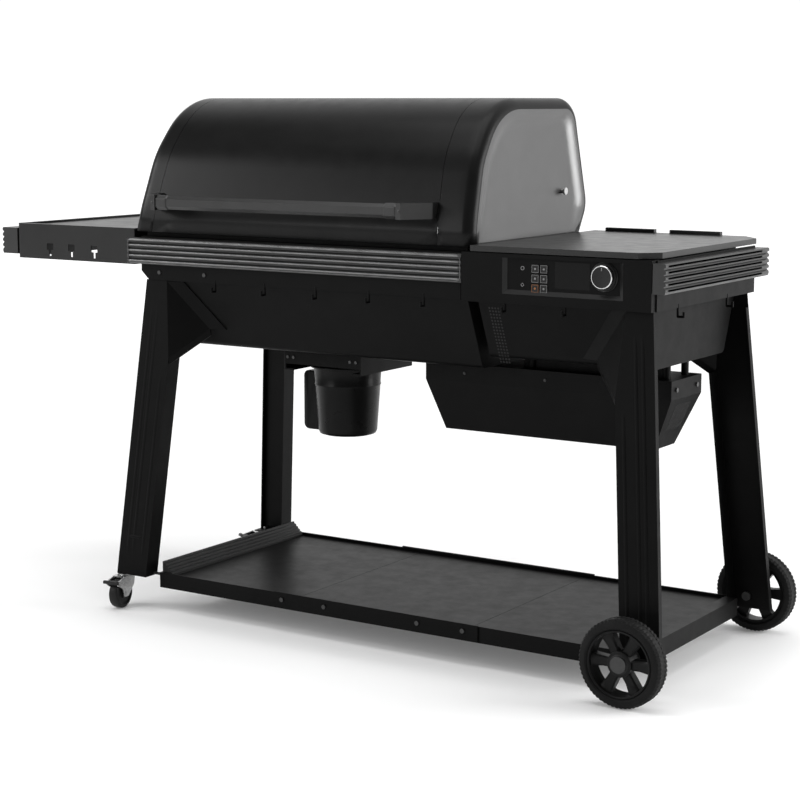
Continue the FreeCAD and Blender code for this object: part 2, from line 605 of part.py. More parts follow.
fan_r = fan_d / 2
fan_x, fan_z0 = pot_x + 150.0, housing_top - 72.0
fan_y = (housing_y0 + housing_y1) / 2
fan_h = 56.0
fan_case = rod(fan_r + 5.0, (fan_x, fan_y, fan_z0), (fan_x, fan_y, fan_z0 + fan_h))
fan_duct = box(pot_x - 28.0, works_y - 28.0, fan_z0 + 12.0, fan_x, works_y + 28.0, fan_z0 + fan_h - 6.0)
fan_riser = rod(28.0, (pot_x, works_y, fan_z0 + 20.0), (pot_x, works_y, pot_z0 - thin - 0.5))
fan_housing = fuse(fan_case, fan_duct, fan_riser).cut(
    [rod(fan_r + 2.5, (fan_x, fan_y, fan_z0 + 2.5), (fan_x, fan_y, fan_z0 + fan_h - 2.5)),
     rod(30.0, (fan_x, fan_y, fan_z0 - 1), (fan_x, fan_y, fan_z0 + 3)),
     rod(24.0, (pot_x, works_y, fan_z0 + 26.0), (pot_x, works_y, tub_bottom + 9.0)),
     box(pot_x, works_y - 24.0, fan_z0 + 16.0, fan_x - fan_r + 4.0, works_y + 24.0, fan_z0 + fan_h - 10.0)])
fan_pin = rod(3.0, (fan_x, fan_y, fan_z0 + 14.0), (fan_x, fan_y, fan_z0 + fan_h - 2.5))
fan_housing = fan_housing.fuse(fan_pin)
blade_count = 12
blades = []
for i in range(blade_count):
    blade = box(fan_r * 0.55, -1.0, 0, fan_r - 3.0, 1.0, 34.0)
    blade.rotate(Vector(0, 0, 0), Z_AXIS, 360.0 / blade_count * i)
    blade.translate(Vector(fan_x, fan_y, fan_z0 + 12.0))
    blades.append(blade)
fan_disc = rod(fan_r - 3.0, (fan_x, fan_y, fan_z0 + 10.0), (fan_x, fan_y, fan_z0 + 12.5))
fan_boss = rod(12.0, (fan_x, fan_y, fan_z0 + 10.0), (fan_x, fan_y, fan_z0 + 46.0))
fan_impeller = fuse(fan_disc, fan_boss, *blades).cut(
    rod(3.0 + running, (fan_x, fan_y, fan_z0 + 13.0 - 2 * running), (fan_x, fan_y, fan_z0 + 60.0)))

# ---------------------------------------------------------------- lid
lid_outline = [(lid_front, lid_bottom), (lid_front + 10.5, lid_bottom + 54.0, 300.0),
               (lid_front + 54.0, lid_bottom + 180.0, 200.0), (lid_front + 150.7, lid_top, 190.0),
               (lid_back - 35.0, lid_top, 62.0), (lid_back, lid_bottom + 60.0, 70.0), (lid_back - 45.0, lid_bottom)]
lid_inside = inset(lid_outline, sheet, skip=(6,))


def leaning(x0, x1, grow):
    """Block that spans the lid between two ends leaning inwards."""
    low, high = -grow, lid_h + grow
    rate = lid_lean / lid_h
    ring = [(x0 + low * rate, lid_bottom + low), (x0 + high * rate, lid_bottom + high),
            (x1 - high * rate, lid_bottom + high), (x1 - low * rate, lid_bottom + low)]
    return prism_y(ring, lid_front - 50.0, lid_back + 50.0)


def rolled(points, x0, x1, radius):
    """Lid-shaped block with leaning, rounded ends; the bottom edges stay sharp."""
    block = prism_x(points, lid_x0 - 1, lid_x1 + 1).common(leaning(x0, x1, 0.0))
    ends = []
    for edge in block.Edges:
        xs = [v.X for v in edge.Vertexes]
        on_end = max(xs) - min(xs) < lid_w / 2 and edge.BoundBox.ZMax > lid_bottom + 1.0
        if on_end:
            ends.append(edge)
    return block.makeFillet(radius, ends)


lid_block = rolled(lid_outline, lid_x0, lid_x1, end_roll_r)
lid_hollow = lid_block.cut(rolled(lid_inside, lid_x0 + sheet, lid_x1 - sheet, end_roll_r - sheet))
lid_middle = leaning(lid_x0 + seam_left, lid_x1 - seam_right, 5.0)
lid_shell = lid_hollow.common(lid_middle)
cap_hole = rod(pin_r + running, (lid_x0 - 1, *pivot), (lid_x1 + 1, *pivot))
lid_caps = group([lid_hollow.cut([lid_middle, cap_hole])])

handle_z = lid_bottom + 71.0
handle_y = -40.0
handle_x0 = lid_x0 + 119.0
handle_x1 = handle_x0 + handle_w
bar = prism_x([(handle_y - handle_d / 2, handle_z - 8.0), (handle_y - handle_d / 2, handle_z + 8.0),
               (handle_y - 3.0, handle_z + handle_h / 2), (handle_y + handle_d / 2, handle_z + 9.0),
               (handle_y + handle_d / 2, handle_z - 9.0), (handle_y - 3.0, handle_z - handle_h / 2)],
              handle_x0, handle_x1)


def handle_bracket(x, outward):
    """Swept-back arm from the bar's end to the lid's skin."""
    foot_y = lid_front + 35.0
    arm = prism_z([(x, handle_y - 13.0), (x + outward * 12.0, handle_y - 13.0), (x + outward * 53.0, lid_front - 2.0),
                   (x + outward * 53.0, foot_y), (x + outward * 40.0, foot_y), (x + outward * 38.0, lid_front),
                   (x + outward * 4.0, handle_y + 14.0), (x, handle_y + 14.0)], handle_z - 17.0, handle_z + 17.0)
    return arm.cut(lid_block)


lid_handle = group([bar, handle_bracket(handle_x0, -1), handle_bracket(handle_x1, 1)])

# ---------------------------------------------------------------- hopper lid and hinge pins
top_x0 = hopper_x0
top_x1 = right_x
top_y1 = frame_d + 55.0
top_z1 = frame_top + 16.0
top_z0 = frame_top + 4.0
top_outline = [(top_x0, 2.0), (top_x1 - 35.0, 2.0), (top_x1, 40.0), (top_x1, top_y1 - 50.0),
               (top_x1 - 45.0, top_y1), (top_x0, top_y1)]
hinge_y = top_y1 - 20.0
hinge_z = top_z0 - 6.0
knuckle_r = 7.0
lid_plate = prism_z(top_outline, top_z0, top_z1).cut(prism_z(inset(top_outline, thin), top_z0 - 1, top_z1 - thin))
hinge_sites = (top_x0 + 35.0, top_x0 + 195.0)
knuckle_w = 40.0
hopper_pieces, hinge_arms, hinge_rods = [], [], []
for x in hinge_sites:
    for start in (x, x + 80.0 + 2 * gap):
        hopper_pieces.append(rod(knuckle_r, (start, hinge_y, hinge_z), (start + knuckle_w, hinge_y, hinge_z)))
        hopper_pieces.append(box(start, hinge_y - 3.0, hinge_z, start + knuckle_w, hinge_y + 3.0, top_z1 - 1.0))
    hopper_pieces.append(box(x, top_y1 - 16.0, top_z1, x + 122.0, top_y1 - 3.0, top_z1 + 8.0))
    arm_x0, arm_x1 = x + knuckle_w + gap, x + 80.0 + gap
    hinge_arms.append(fuse(box(arm_x0, frame_d, hinge_z - 5.0, arm_x1, hinge_y, hinge_z + 5.0),
                           rod(knuckle_r, (arm_x0, hinge_y, hinge_z), (arm_x1, hinge_y, hinge_z))).cut(
        rod(hopper_pin_d / 2, (x - 10, hinge_y, hinge_z), (x + 140, hinge_y, hinge_z))))
    hinge_rods.append(rod(hopper_pin_d / 2, (x - 3.0, hinge_y, hinge_z), (x + 125.0, hinge_y, hinge_z)))
hopper_bore = rod(hopper_pin_d / 2 + running, (top_x0, hinge_y, hinge_z), (top_x1, hinge_y, hinge_z))
hopper_lid = fuse(lid_plate, *hopper_pieces).cut(hopper_bore)
pins = []
cap_in = lid_lean / lid_h * (pivot[1] - lid_bottom)      # lean of the caps at the pins' height
head_t = 4.0
for side, inner_x, face_x in ((-1, end_x0 + sheet + 2.0, lid_x0 + cap_in), (1, end_x1 - sheet - 2.0, lid_x1 - cap_in)):
    head_x = face_x + side * gap
    pins.append(fuse(rod(pin_r, (inner_x, *pivot), (head_x + side * head_t, *pivot)),
                     rod(pin_r + 3.0, (head_x, *pivot), (head_x + side * head_t, *pivot))))
hinge_pins = group(pins + hinge_arms + hinge_rods)

# ---------------------------------------------------------------- control housing
ctrl_x0 = lid_x1 - 18.0 + gap
ctrl_x1 = right_x - sheet
ctrl_top = top_z0 - 2.0
panel_y = 6.0
recess = (lid_x1 + 81.0, frame_bottom + 20.0, right_x - 65.0, ctrl_top - 8.0)      # x0, z0, x1, z1
knob_x, knob_z = right_x - 109.0, frame_bottom + 65.0
button_x0 = lid_x1 + 155.0
button_z0 = knob_z + 9.0
button_places = [(button_x0 + column * button_pitch, button_z0 - row * button_pitch)
                 for row in range(3) for column in range(2)]
display = (lid_x1 + 200.0, knob_z - 29.0, knob_x - knob_d / 2 - 8.0, knob_z + 25.0)
control_body = box(ctrl_x0, 0, frame_bottom, ctrl_x1, tub_y0 - 2.0, ctrl_top).cut(
    [box(ctrl_x0 + thin, panel_y + sheet, frame_bottom + thin, ctrl_x1 - thin, tub_y0, ctrl_top - thin),
     box(recess[0], -1, recess[1], recess[2], panel_y, recess[3]),
     box(display[0], panel_y - 1, display[1], display[2], panel_y + 2.0, display[3])])
knob_shaft_r = 3.0
half_hole = button_size / 2 + slip
cuts = [rod(knob_shaft_r + running, (knob_x, 0, knob_z), (knob_x, 20.0, knob_z))]
cuts += [box(x - half_hole, 0, z - half_hole, x + half_hole, 12.0, z + half_hole) for x, z in button_places]
control_housing = control_body.cut(cuts)
display_glass = box(display[0], panel_y - 0.6, display[1], display[2], panel_y + 2.0, display[3])
knob_r = knob_d / 2
knob = fuse(rod(knob_r, (knob_x, -16.0, knob_z), (knob_x, 2.0, knob_z)),
            rod(knob_r + 3.0, (knob_x, 2.0, knob_z), (knob_x, panel_y - slip, knob_z)),
            rod(knob_shaft_r, (knob_x, 0, knob_z), (knob_x, panel_y + 8.0, knob_z)))
knob = knob.cut(box(knob_x - 1.5, -17.0, knob_z + knob_r - 10.0, knob_x + 1.5, -14.5, knob_z + knob_r + 1))
half = button_size / 2
buttons = [box(x - half, panel_y - 1.8, z - half, x + half, panel_y + 5.0, z + half) for x, z in button_places]

# ---------------------------------------------------------------- power inlet and switch at the back
inlet_z = frame_bottom + 45.0
inlet_y1 = frame_d + 30.0
socket_x = inlet_x0 + 80.0
switch_x = inlet_x0 + 22.0
power_inlet = box(inlet_x0, frame_d, inlet_z - 22.0, inlet_x0 + inlet_w, inlet_y1, inlet_z + 22.0).cut(
    [box(socket_x - 14.0, inlet_y1 - 20.0, inlet_z - 10.0, socket_x + 14.0, inlet_y1 + 1, inlet_z + 10.0),
     box(switch_x - 8.0, inlet_y1 - 14.0, inlet_z - 13.0, switch_x + 8.0, inlet_y1 + 1, inlet_z + 13.0)])
blade_pins = [box(socket_x + dx - 1.0, inlet_y1 - 20.0, inlet_z + dz - 2.5, socket_x + dx + 1.0, inlet_y1 - 4.0,
                  inlet_z + dz + 2.5) for dx, dz in ((-7.0, -2.0), (0.0, 3.0), (7.0, -2.0))]
switch_axis = (inlet_y1 - 5.0, inlet_z)
switch_pin = rod(1.5, (switch_x - 10.0, *switch_axis), (switch_x + 10.0, *switch_axis))
power_inlet = group([fuse(power_inlet, switch_pin, *blade_pins)])
rocker_tilt = 8.0
power_switch = prism_x([(inlet_y1 - 9.0, inlet_z - 4.0), (inlet_y1, inlet_z - 11.0), (inlet_y1 + 1.0, inlet_z),
                        (inlet_y1, inlet_z + 11.0), (inlet_y1 - 9.0, inlet_z + 4.0)], switch_x - 7.5, switch_x + 7.5)
power_switch = power_switch.cut(rod(1.5 + running, (switch_x - 10.0, *switch_axis), (switch_x + 10.0, *switch_axis)))
power_switch.rotate(Vector(switch_x, *switch_axis), X_AXIS, rocker_tilt)

# ---------------------------------------------------------------- grease keg and its bracket
keg_x, keg_y = spout_x, works_y
keg_top = tub_bottom - 42.0
keg_bottom = keg_top - keg_h
keg_r0, keg_r1 = keg_top_d / 2, keg_bottom_d / 2
rim_r = keg_r0 + 8.0
step_z = keg_top - 44.0
step_r = keg_r0 - 5.0


def keg_body(offset, top_extra):
    profile = [(0, keg_bottom + offset), (keg_r1 - offset, keg_bottom + offset), (step_r - 2.0 - offset, step_z),
               (keg_r0 - offset, step_z + 5.0), (keg_r0 - offset, keg_top + top_extra), (0, keg_top + top_extra)]
    face = Part.Face(Part.makePolygon([Vector(r, 0, z) for r, z in profile + profile[:1]]))
    solid = face.revolve(Vector(0, 0, 0), Z_AXIS, 360)
    solid.translate(Vector(keg_x, keg_y, 0))
    return solid


grip_x = keg_x - keg_grip_reach
grip = prism_y([(grip_x, keg_bottom + 2.0, 14.0), (keg_x - keg_r1 + 4.0, keg_bottom + 2.0),
                (keg_x - keg_r1 + 4.0, keg_top - 20.0), (grip_x, keg_top - 20.0, 14.0)], keg_y - 13.0, keg_y + 13.0)
rim = rod(rim_r, (keg_x, keg_y, keg_top - 4.0), (keg_x, keg_y, keg_top))
grease_keg = fuse(keg_body(0.0, 0.0), grip, rim).cut(keg_body(1.6, 1.0))

wall_x = bracket_w / 2 - sheet
bracket_y0, bracket_y1 = keg_y - 102.0, keg_y + 112.0
bracket_parts = [box(keg_x - wall_x - sheet, bracket_y0, keg_top + 6.0, keg_x + wall_x + sheet, bracket_y0 + sheet,
                     keg_top + 36.0)]
for side in (-1, 1):
    a, b = keg_x + side * wall_x, keg_x + side * (wall_x + sheet)
    bracket_parts.append(box(min(a, b), bracket_y0, keg_top - 8.0, max(a, b), bracket_y1, tub_bottom))
    a, b = keg_x + side * (keg_r0 + 2.0), keg_x + side * wall_x
    bracket_parts.append(box(min(a, b), bracket_y0, keg_top - 8.0, max(a, b), bracket_y1, keg_top - 4.0 - slip))
bracket_parts.append(box(keg_x - wall_x, bracket_y1 - sheet, keg_top - 8.0, keg_x + wall_x, bracket_y1, tub_bottom))
keg_bracket = fuse(bracket_parts[0], *bracket_parts[1:])

# ---------------------------------------------------------------- bottom shelf
shelf0_x0 = 91.0
shelf0_x1 = leg_outer_x(1, shelf_floor_z) - leg_plate_w - 3.0
shelf0_y0, shelf0_y1 = -12.0, frame_d + 12.0
floor_t = 3.0
skirt_top = shelf_floor_z + 10.0
skirt_low = skirt_top - shelf_skirt_h
seam_a = shelf0_x0 + 394.0
seam_b = seam_a + 454.0


def shelf_panel(x0, x1, left_end, right_end):
    walls = [box(x0, shelf0_y0, skirt_low, x1, shelf0_y0 + sheet, skirt_top),
             box(x0, shelf0_y1 - sheet, skirt_low, x1, shelf0_y1, skirt_top)]
    if left_end:
        walls.append(box(x0, shelf0_y0, skirt_low, x0 + sheet, shelf0_y1, skirt_top))
    if right_end:
        walls.append(box(x1 - sheet, shelf0_y0, skirt_low, x1, shelf0_y1, skirt_top))
    return fuse(box(x0, shelf0_y0, shelf_floor_z, x1, shelf0_y1, shelf_floor_z + floor_t), *walls)


end_rail = box(shelf0_x1, 14.0, skirt_low, shelf0_x1 + 30.0, frame_d - 14.0, skirt_top + 4.0).cut(
    box(shelf0_x1 - 1, 12.0, skirt_low - 1, shelf0_x1 + 30.0 - sheet, frame_d - 12.0, skirt_top + 1.0))
shelf_panels = group([shelf_panel(shelf0_x0, seam_a - gap / 2, True, False),
                      shelf_panel(seam_a + gap / 2, seam_b - gap / 2, False, False),
                      shelf_panel(seam_b + gap / 2, shelf0_x1, False, True), end_rail])
plate_x0, plate_x1 = seam_a - 57.0, seam_b + 23.0
joint_front = box(plate_x0, shelf0_y0 - 4.0, skirt_low + 2.0, plate_x1, shelf0_y0, skirt_top + 2.0)
shelf_joint_plates = group([joint_front, mirror_y(joint_front)])

ridge_count = 5
ridge_pitch = 6.0
ridge_x0 = shelf0_x0 + sheet + 2.0
bumper_top = shelf_floor_z + floor_t + 33.0
ridge_points = [(ridge_x0, shelf_floor_z + floor_t), (ridge_x0, bumper_top)]
for i in range(ridge_count):
    x = ridge_x0 + i * ridge_pitch
    high = bumper_top - i * ridge_pitch
    ridge_points += [(x + 3.5, high), (x + 4.0, high - 4.0), (x + 6.0, high - 5.0)]
ridge_points.append((ridge_x0 + ridge_count * ridge_pitch, shelf_floor_z + floor_t))
shelf_bumper = prism_y(ridge_points, shelf0_y0 + sheet + 2.0, shelf0_y1 - sheet - 2.0)

# ---------------------------------------------------------------- wheels
wheel_r, rim_r1 = wheel_d / 2, rim_d / 2


def wheel_pieces():
    """Tyre, rim with six spokes and axle bolt of the front wheel."""
    front, back = wheel_y0, wheel_y1
    tyre = tube(wheel_r, rim_r1, (wheel_x, front, wheel_z), (wheel_x, back, wheel_z))
    edges = [e for e in tyre.Edges if abs(e.Length - 2 * math.pi * wheel_r) < 1.0]
    tyre = tyre.makeFillet(7.0, edges)
    ring = tube(rim_r1, rim_r1 - 6.0, (wheel_x, front + 4.0, wheel_z), (wheel_x, back - 4.0, wheel_z))
    hub = rod(21.0, (wheel_x, front + 4.0, wheel_z), (wheel_x, back + 5.0, wheel_z))
    spokes = []
    for i in range(6):
        spoke = box(15.0, front + 9.0, -9.0, rim_r1 - 4.0, back - 9.0, 9.0)
        spoke.rotate(Vector(0, 0, 0), Y_AXIS, 60.0 * i + 30.0)
        spoke.translate(Vector(wheel_x, 0, wheel_z))
        spokes.append(spoke)
    bore = rod(axle_d / 2 + running, (wheel_x, front - 1, wheel_z), (wheel_x, back + 10.0, wheel_z))
    rim = fuse(ring, hub, *spokes).cut(bore)
    axle = fuse(rod(axle_d / 2, (wheel_x, front, wheel_z), (wheel_x, foot_y + sheet + 6.0, wheel_z)),
                rod(17.0, (wheel_x, front, wheel_z), (wheel_x, front + 4.0 - slip, wheel_z)),
                rod(15.0, (wheel_x, back + 5.0 + slip, wheel_z), (wheel_x, foot_y - 2.5, wheel_z)))
    nut = rod(10.0, (wheel_x, foot_y + sheet + 2.0, wheel_z), (wheel_x, foot_y + sheet + 9.0, wheel_z))
    return tyre, rim, fuse(axle, nut)


tyre_front, rim_front, axle_front = wheel_pieces()
tyre_rear, rim_rear = mirror_y(tyre_front), mirror_y(rim_front)
wheel_axles = group([axle_front, mirror_y(axle_front)])

# ---------------------------------------------------------------- casters
caster_r = caster_d / 2
cheek_gap = caster_w / 2 + 1.5
pedal_pivot = (caster_trail + 29.0, caster_r + 29.0)           # along the trail, and up
pedal_w = 40.0


def caster(stem, angle):
    """Fork, wheel and brake pedal; built trailing along +X, then turned about the stem."""
    bridge_z = caster_d + 2.5
    head = rod(19.0, (0, 0, bridge_z), (0, 0, seat_z - slip))
    stem_rod = rod(stem_d / 2, (0, 0, seat_z - 2.0), (0, 0, seat_z + sheet + 5.0))
    bridge = box(-14.0, -cheek_gap - 3.0, bridge_z, caster_trail + 8.0, cheek_gap + 3.0, bridge_z + 3.0)
    cheeks = []
    for side in (-1, 1):
        y0 = side * cheek_gap
        y1 = y0 + side * 3.0
        cheeks.append(prism_y([(-14.0, bridge_z + 2.0), (-10.0, 52.0), (caster_trail - 9.0, caster_r - 8.0, 5.0),
                               (caster_trail + 9.0, caster_r - 8.0, 5.0), (caster_trail + 14.0, 48.0),
                               (pedal_pivot[0] + 5.0, pedal_pivot[1] - 5.0), (pedal_pivot[0] + 5.0, pedal_pivot[1] + 4.0),
                               (caster_trail + 8.0, bridge_z + 2.0)], min(y0, y1), max(y0, y1)))
    pivot_bar = rod(2.5, (pedal_pivot[0], -cheek_gap - 3.0, pedal_pivot[1]), (pedal_pivot[0], cheek_gap + 3.0, pedal_pivot[1]))
    axle = rod(4.0, (caster_trail, -cheek_gap - 4.0, caster_r), (caster_trail, cheek_gap + 4.0, caster_r))
    fork = fuse(head, stem_rod, bridge, axle, pivot_bar, *cheeks)
    wheel = rod(caster_r, (caster_trail, -caster_w / 2, caster_r), (caster_trail, caster_w / 2, caster_r))
    wheel = wheel.makeFillet(4.0, [e for e in wheel.Edges if abs(e.Length - math.pi * caster_d) < 1.0])
    wheel = wheel.cut(rod(4.0 + running, (caster_trail, -20, caster_r), (caster_trail, 20, caster_r)))
    a, b = pedal_pivot
    pedal = fuse(prism_y([(a - 3.0, b - 4.0), (a + 9.0, b - 3.0), (a + 9.0, b + 5.0), (a - 3.0, b + 5.0)],
                         -cheek_gap + 0.8, cheek_gap - 0.8),
                 prism_y([(a + 8.0, b - 2.0), (a + 15.0, b + 1.0), (a + 13.0, b + 7.0), (a + 8.0, b + 7.0)],
                         -pedal_w / 2, pedal_w / 2))
    pedal = pedal.cut(rod(2.5 + running, (a, -20, b), (a, 20, b)))
    result = []
    for piece in (fork, wheel, pedal):
        piece.rotate(Vector(0, 0, 0), Z_AXIS, angle)
        piece.translate(Vector(stem[0], stem[1], 0))
        result.append(piece)
    return result


front_trail_angle = -82.0
rear_trail_angle = 238.0
caster_fork_front, caster_wheel_front, caster_brake_front = caster(stem_front, front_trail_angle)
caster_fork_rear, caster_wheel_rear, caster_brake_rear = caster(stem_rear, rear_trail_angle)


# ---------------------------------------------------------------- tool hooks
def hook(x, y, z, outward):
    """J-shaped wire hook that hangs from a beam; outward is the way it opens."""
    r = 2.5
    low = z - 18.0
    down = rod(r, (x, y, z + hook_grip), (x, y, low))
    tip = (x + outward[0] * 13.0, y + outward[1] * 13.0, low)
    out = rod(r, (x, y, low), tip)
    up = rod(r, tip, (tip[0], tip[1], low + 10.0))
    balls = [Part.makeSphere(r, Vector(x, y, low)), Part.makeSphere(r, Vector(*tip))]
    return fuse(down, out, up, *balls)


hook_pitch = 140.0
hook_grip = 8.0          # a hook's shank sits in a notch this deep
hook_xs = [lid_x0 + 234.0 + i * hook_pitch for i in range(5)]
tool_hooks = [hook(x, beam_y0 + 1.5, frame_bottom, (0, -1)) for x in hook_xs]
tool_hooks += [hook(x, beam_y0 + 1.5, frame_bottom, (0, -1)) for x in (hopper_x0 + 75.0, hopper_x0 + 215.0)]
tool_hooks += [hook(right_x - 1.5, y, frame_bottom, (1, 0)) for y in (120.0, 363.0)]
tool_hooks = group(tool_hooks)
frame_beams = frame_beams.cut(tool_hooks)
control_housing = control_housing.cut(tool_hooks)

# ---------------------------------------------------------------- fasteners
heads = []
for x in (beam_x0 + 54.0, beam_x0 + 186.0):
    heads.append(screw_head(4.5, 2.5, (x, beam_y0, frame_bottom + 18.0), (0, -1, 0)))
for x in (plate_x0 + 22.0, plate_x0 + 138.0, plate_x1 - 151.0, plate_x1 - 37.0):
    screw = screw_head(5.0, 3.0, (x, shelf0_y0 - 4.0, shelf_floor_z - 4.0), (0, -1, 0))
    heads += [screw, mirror_y(screw)]
for dx in (-wall_x + 6.0, -wall_x + 22.0, wall_x - 26.0, wall_x - 10.0):
    heads.append(screw_head(3.5, 2.5, (keg_x + dx, bracket_y0, keg_top + 22.0), (0, -1, 0)))
for y in (housing_y0 + 24.0, housing_y1 - 24.0):
    heads.append(screw_head(5.0, 3.0, (enclosure_x1, y, housing_top - 20.0), (1, 0, 0)))
for side, x_end in ((-1, shelf0_x0), (1, shelf0_x1)):
    z = shelf_floor_z + 4.5
    x_leg = leg_outer_x(side, z) - side * leg_plate_w - side * 0.5
    for y in (-6.0, frame_d + 6.0):
        heads.append(rod(3.5, (min(x_end, x_leg), y, z), (max(x_end, x_leg), y, z)))
fasteners = group(heads)

# ---------------------------------------------------------------- save
nodes = {
    "leg_front_left": leg_front_left, "leg_front_right": leg_front_right,
    "leg_rear_left": leg_rear_left, "leg_rear_right": leg_rear_right,
    "frame_beams": frame_beams, "rail_front": rail_front, "side_rails": side_rails,
    "side_shelf": side_shelf, "tub_shell": tub_shell, "tub_ends": tub_ends, "exhaust_duct": exhaust_duct,
    "cooking_grates": cooking_grates, "upper_rack": upper_rack, "drip_tray": drip_tray,
    "heat_baffle": heat_baffle, "fire_pot": fire_pot, "igniter": igniter,
    "temperature_probe": temperature_probe, "auger_tube": auger_tube, "auger_screw": auger_screw,
    "auger_motor": auger_motor, "hopper_enclosure": hopper_enclosure, "hopper_bin": hopper_bin,
    "drive_housing": drive_housing, "fan_housing": fan_housing, "fan_impeller": fan_impeller,
    "lid_shell": lid_shell, "lid_caps": lid_caps, "lid_handle": lid_handle, "hopper_lid": hopper_lid,
    "hinge_pins": hinge_pins, "control_housing": control_housing, "display_glass": display_glass,
    "knob": knob, "power_inlet": power_inlet, "power_switch": power_switch,
    "grease_keg": grease_keg, "keg_bracket": keg_bracket, "shelf_panels": shelf_panels,
    "shelf_joint_plates": shelf_joint_plates, "shelf_bumper": shelf_bumper,
    "tyre_front": tyre_front, "rim_front": rim_front, "tyre_rear": tyre_rear, "rim_rear": rim_rear,
    "wheel_axles": wheel_axles,
    "caster_fork_front": caster_fork_front, "caster_wheel_front": caster_wheel_front,
    "caster_brake_front": caster_brake_front, "caster_fork_rear": caster_fork_rear,
    "caster_wheel_rear": caster_wheel_rear, "caster_brake_rear": caster_brake_rear,
    "tool_hooks": tool_hooks, "fasteners": fasteners,
}
for i, button in enumerate(buttons):
    nodes["button_%d" % (i + 1)] = button

os.makedirs("parts", exist_ok=True)
for name, shape in nodes.items():
    placed = shape.copy()
    placed.translate(Vector(-origin_x, -origin_y, 0))
    if not placed.isValid() or not placed.Solids:
        print("NOT VALID", name)
    placed.exportStep("parts/%s.step" % name)
print(len(nodes), "nodes")


def show(label, x, y, z):
    print("%-22s %9.3f %9.3f %9.3f" % (label, x - origin_x, y - origin_y, z))


show("lid pivot", lid_x0, *pivot)
show("hopper hinge", hopper_x0, hinge_y, hinge_z)
show("knob", knob_x, 0, knob_z)
show("wheel front", wheel_x, wheel_y0, wheel_z)
show("stem front", stem_front[0], stem_front[1], seat_z)
show("stem rear", stem_rear[0], stem_rear[1], seat_z)
show("auger", auger_x0, works_y, auger_z)
show("fan", fan_x, fan_y, fan_z0)
show("keg", keg_x, keg_y, keg_top)
show("switch", switch_x, *switch_axis)
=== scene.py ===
import json
import math
import bmesh
import bpy
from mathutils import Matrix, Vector


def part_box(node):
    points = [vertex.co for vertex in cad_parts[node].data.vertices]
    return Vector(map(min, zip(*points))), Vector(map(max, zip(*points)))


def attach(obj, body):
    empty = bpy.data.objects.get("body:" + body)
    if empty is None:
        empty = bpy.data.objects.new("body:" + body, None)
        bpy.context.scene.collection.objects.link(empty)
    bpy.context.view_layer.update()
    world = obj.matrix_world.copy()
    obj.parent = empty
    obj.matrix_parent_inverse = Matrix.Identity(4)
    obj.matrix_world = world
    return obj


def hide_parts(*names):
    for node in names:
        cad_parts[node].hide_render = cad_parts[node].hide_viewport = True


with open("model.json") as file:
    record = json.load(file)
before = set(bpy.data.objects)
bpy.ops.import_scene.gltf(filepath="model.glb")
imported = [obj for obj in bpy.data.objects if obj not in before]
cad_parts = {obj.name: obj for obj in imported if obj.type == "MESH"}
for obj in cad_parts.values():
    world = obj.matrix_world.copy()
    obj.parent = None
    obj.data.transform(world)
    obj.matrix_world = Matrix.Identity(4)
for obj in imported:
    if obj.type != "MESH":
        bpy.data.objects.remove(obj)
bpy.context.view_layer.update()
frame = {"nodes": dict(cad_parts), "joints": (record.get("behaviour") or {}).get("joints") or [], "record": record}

# Some black surfaces carry painted reflections, and the rail ribs carry painted highlight lines.
# Pellet smoker grill: the imported CAD model carries the frame and most sheet parts. This script adds
# the pressed lid, wheels, keg, dial and small details, and gives every surface its finish.
# Metres, in the CAD model's frame: X right along the rails, Y to the back, Z up.

nodes = frame["nodes"]
joints = {joint["name"]: joint for joint in frame["joints"]}
NOISE_LOW, NOISE_HIGH = 0.3, 0.7    # most of a noise texture lies between these
BOX_FACES = [(0, 1, 3, 2), (4, 5, 7, 6), (0, 1, 5, 4), (2, 3, 7, 6), (0, 2, 6, 4), (1, 3, 7, 5)]


# ---------------------------------------------------------------- materials
class Maker:
    """Node-building shorthand for one material."""

    def __init__(self, name):
        self.material = bpy.data.materials.new(name)
        self.material.use_nodes = True
        self.tree = self.material.node_tree
        self.shader = self.tree.nodes["Principled BSDF"]
        coords = self.tree.nodes.new("ShaderNodeTexCoord")
        self.coords = coords.outputs["Object"]

    def add(self, kind, **settings):
        node = self.tree.nodes.new(kind)
        for key, value in settings.items():
            setattr(node, key, value)
        return node

    def link(self, a, b):
        self.tree.links.new(a, b)

    def noise(self, scale, detail=3.0, rough=0.5, stretch=None):
        node = self.add("ShaderNodeTexNoise")
        node.inputs["Scale"].default_value = scale
        node.inputs["Detail"].default_value = detail
        node.inputs["Roughness"].default_value = rough
        if stretch:
            mapping = self.add("ShaderNodeMapping")
            mapping.inputs["Scale"].default_value = stretch
            self.link(self.coords, mapping.inputs["Vector"])
            self.link(mapping.outputs["Vector"], node.inputs["Vector"])
        else:
            self.link(self.coords, node.inputs["Vector"])
        return node.outputs["Fac"]

    def ramp(self, source, stops):
        node = self.add("ShaderNodeValToRGB")
        while len(node.color_ramp.elements) < len(stops):
            node.color_ramp.elements.new(0.5)
        for element, (place, colour) in zip(node.color_ramp.elements, stops):
            element.position = place
            element.color = (*colour, 1.0)
        self.link(source, node.inputs["Fac"])
        return node.outputs["Color"]

    def spread(self, source, low, high):
        node = self.add("ShaderNodeMapRange")
        node.inputs["From Min"].default_value = NOISE_LOW
        node.inputs["From Max"].default_value = NOISE_HIGH
        node.inputs["To Min"].default_value = low
        node.inputs["To Max"].default_value = high
        self.link(source, node.inputs["Value"])
        return node.outputs["Result"]

    def bump(self, source, strength, distance):
        node = self.add("ShaderNodeBump")
        node.inputs["Strength"].default_value = strength
        node.inputs["Distance"].default_value = distance
        self.link(source, node.inputs["Height"])
        self.link(node.outputs["Normal"], self.shader.inputs["Normal"])


def grey(value):
    return (value, value, value)


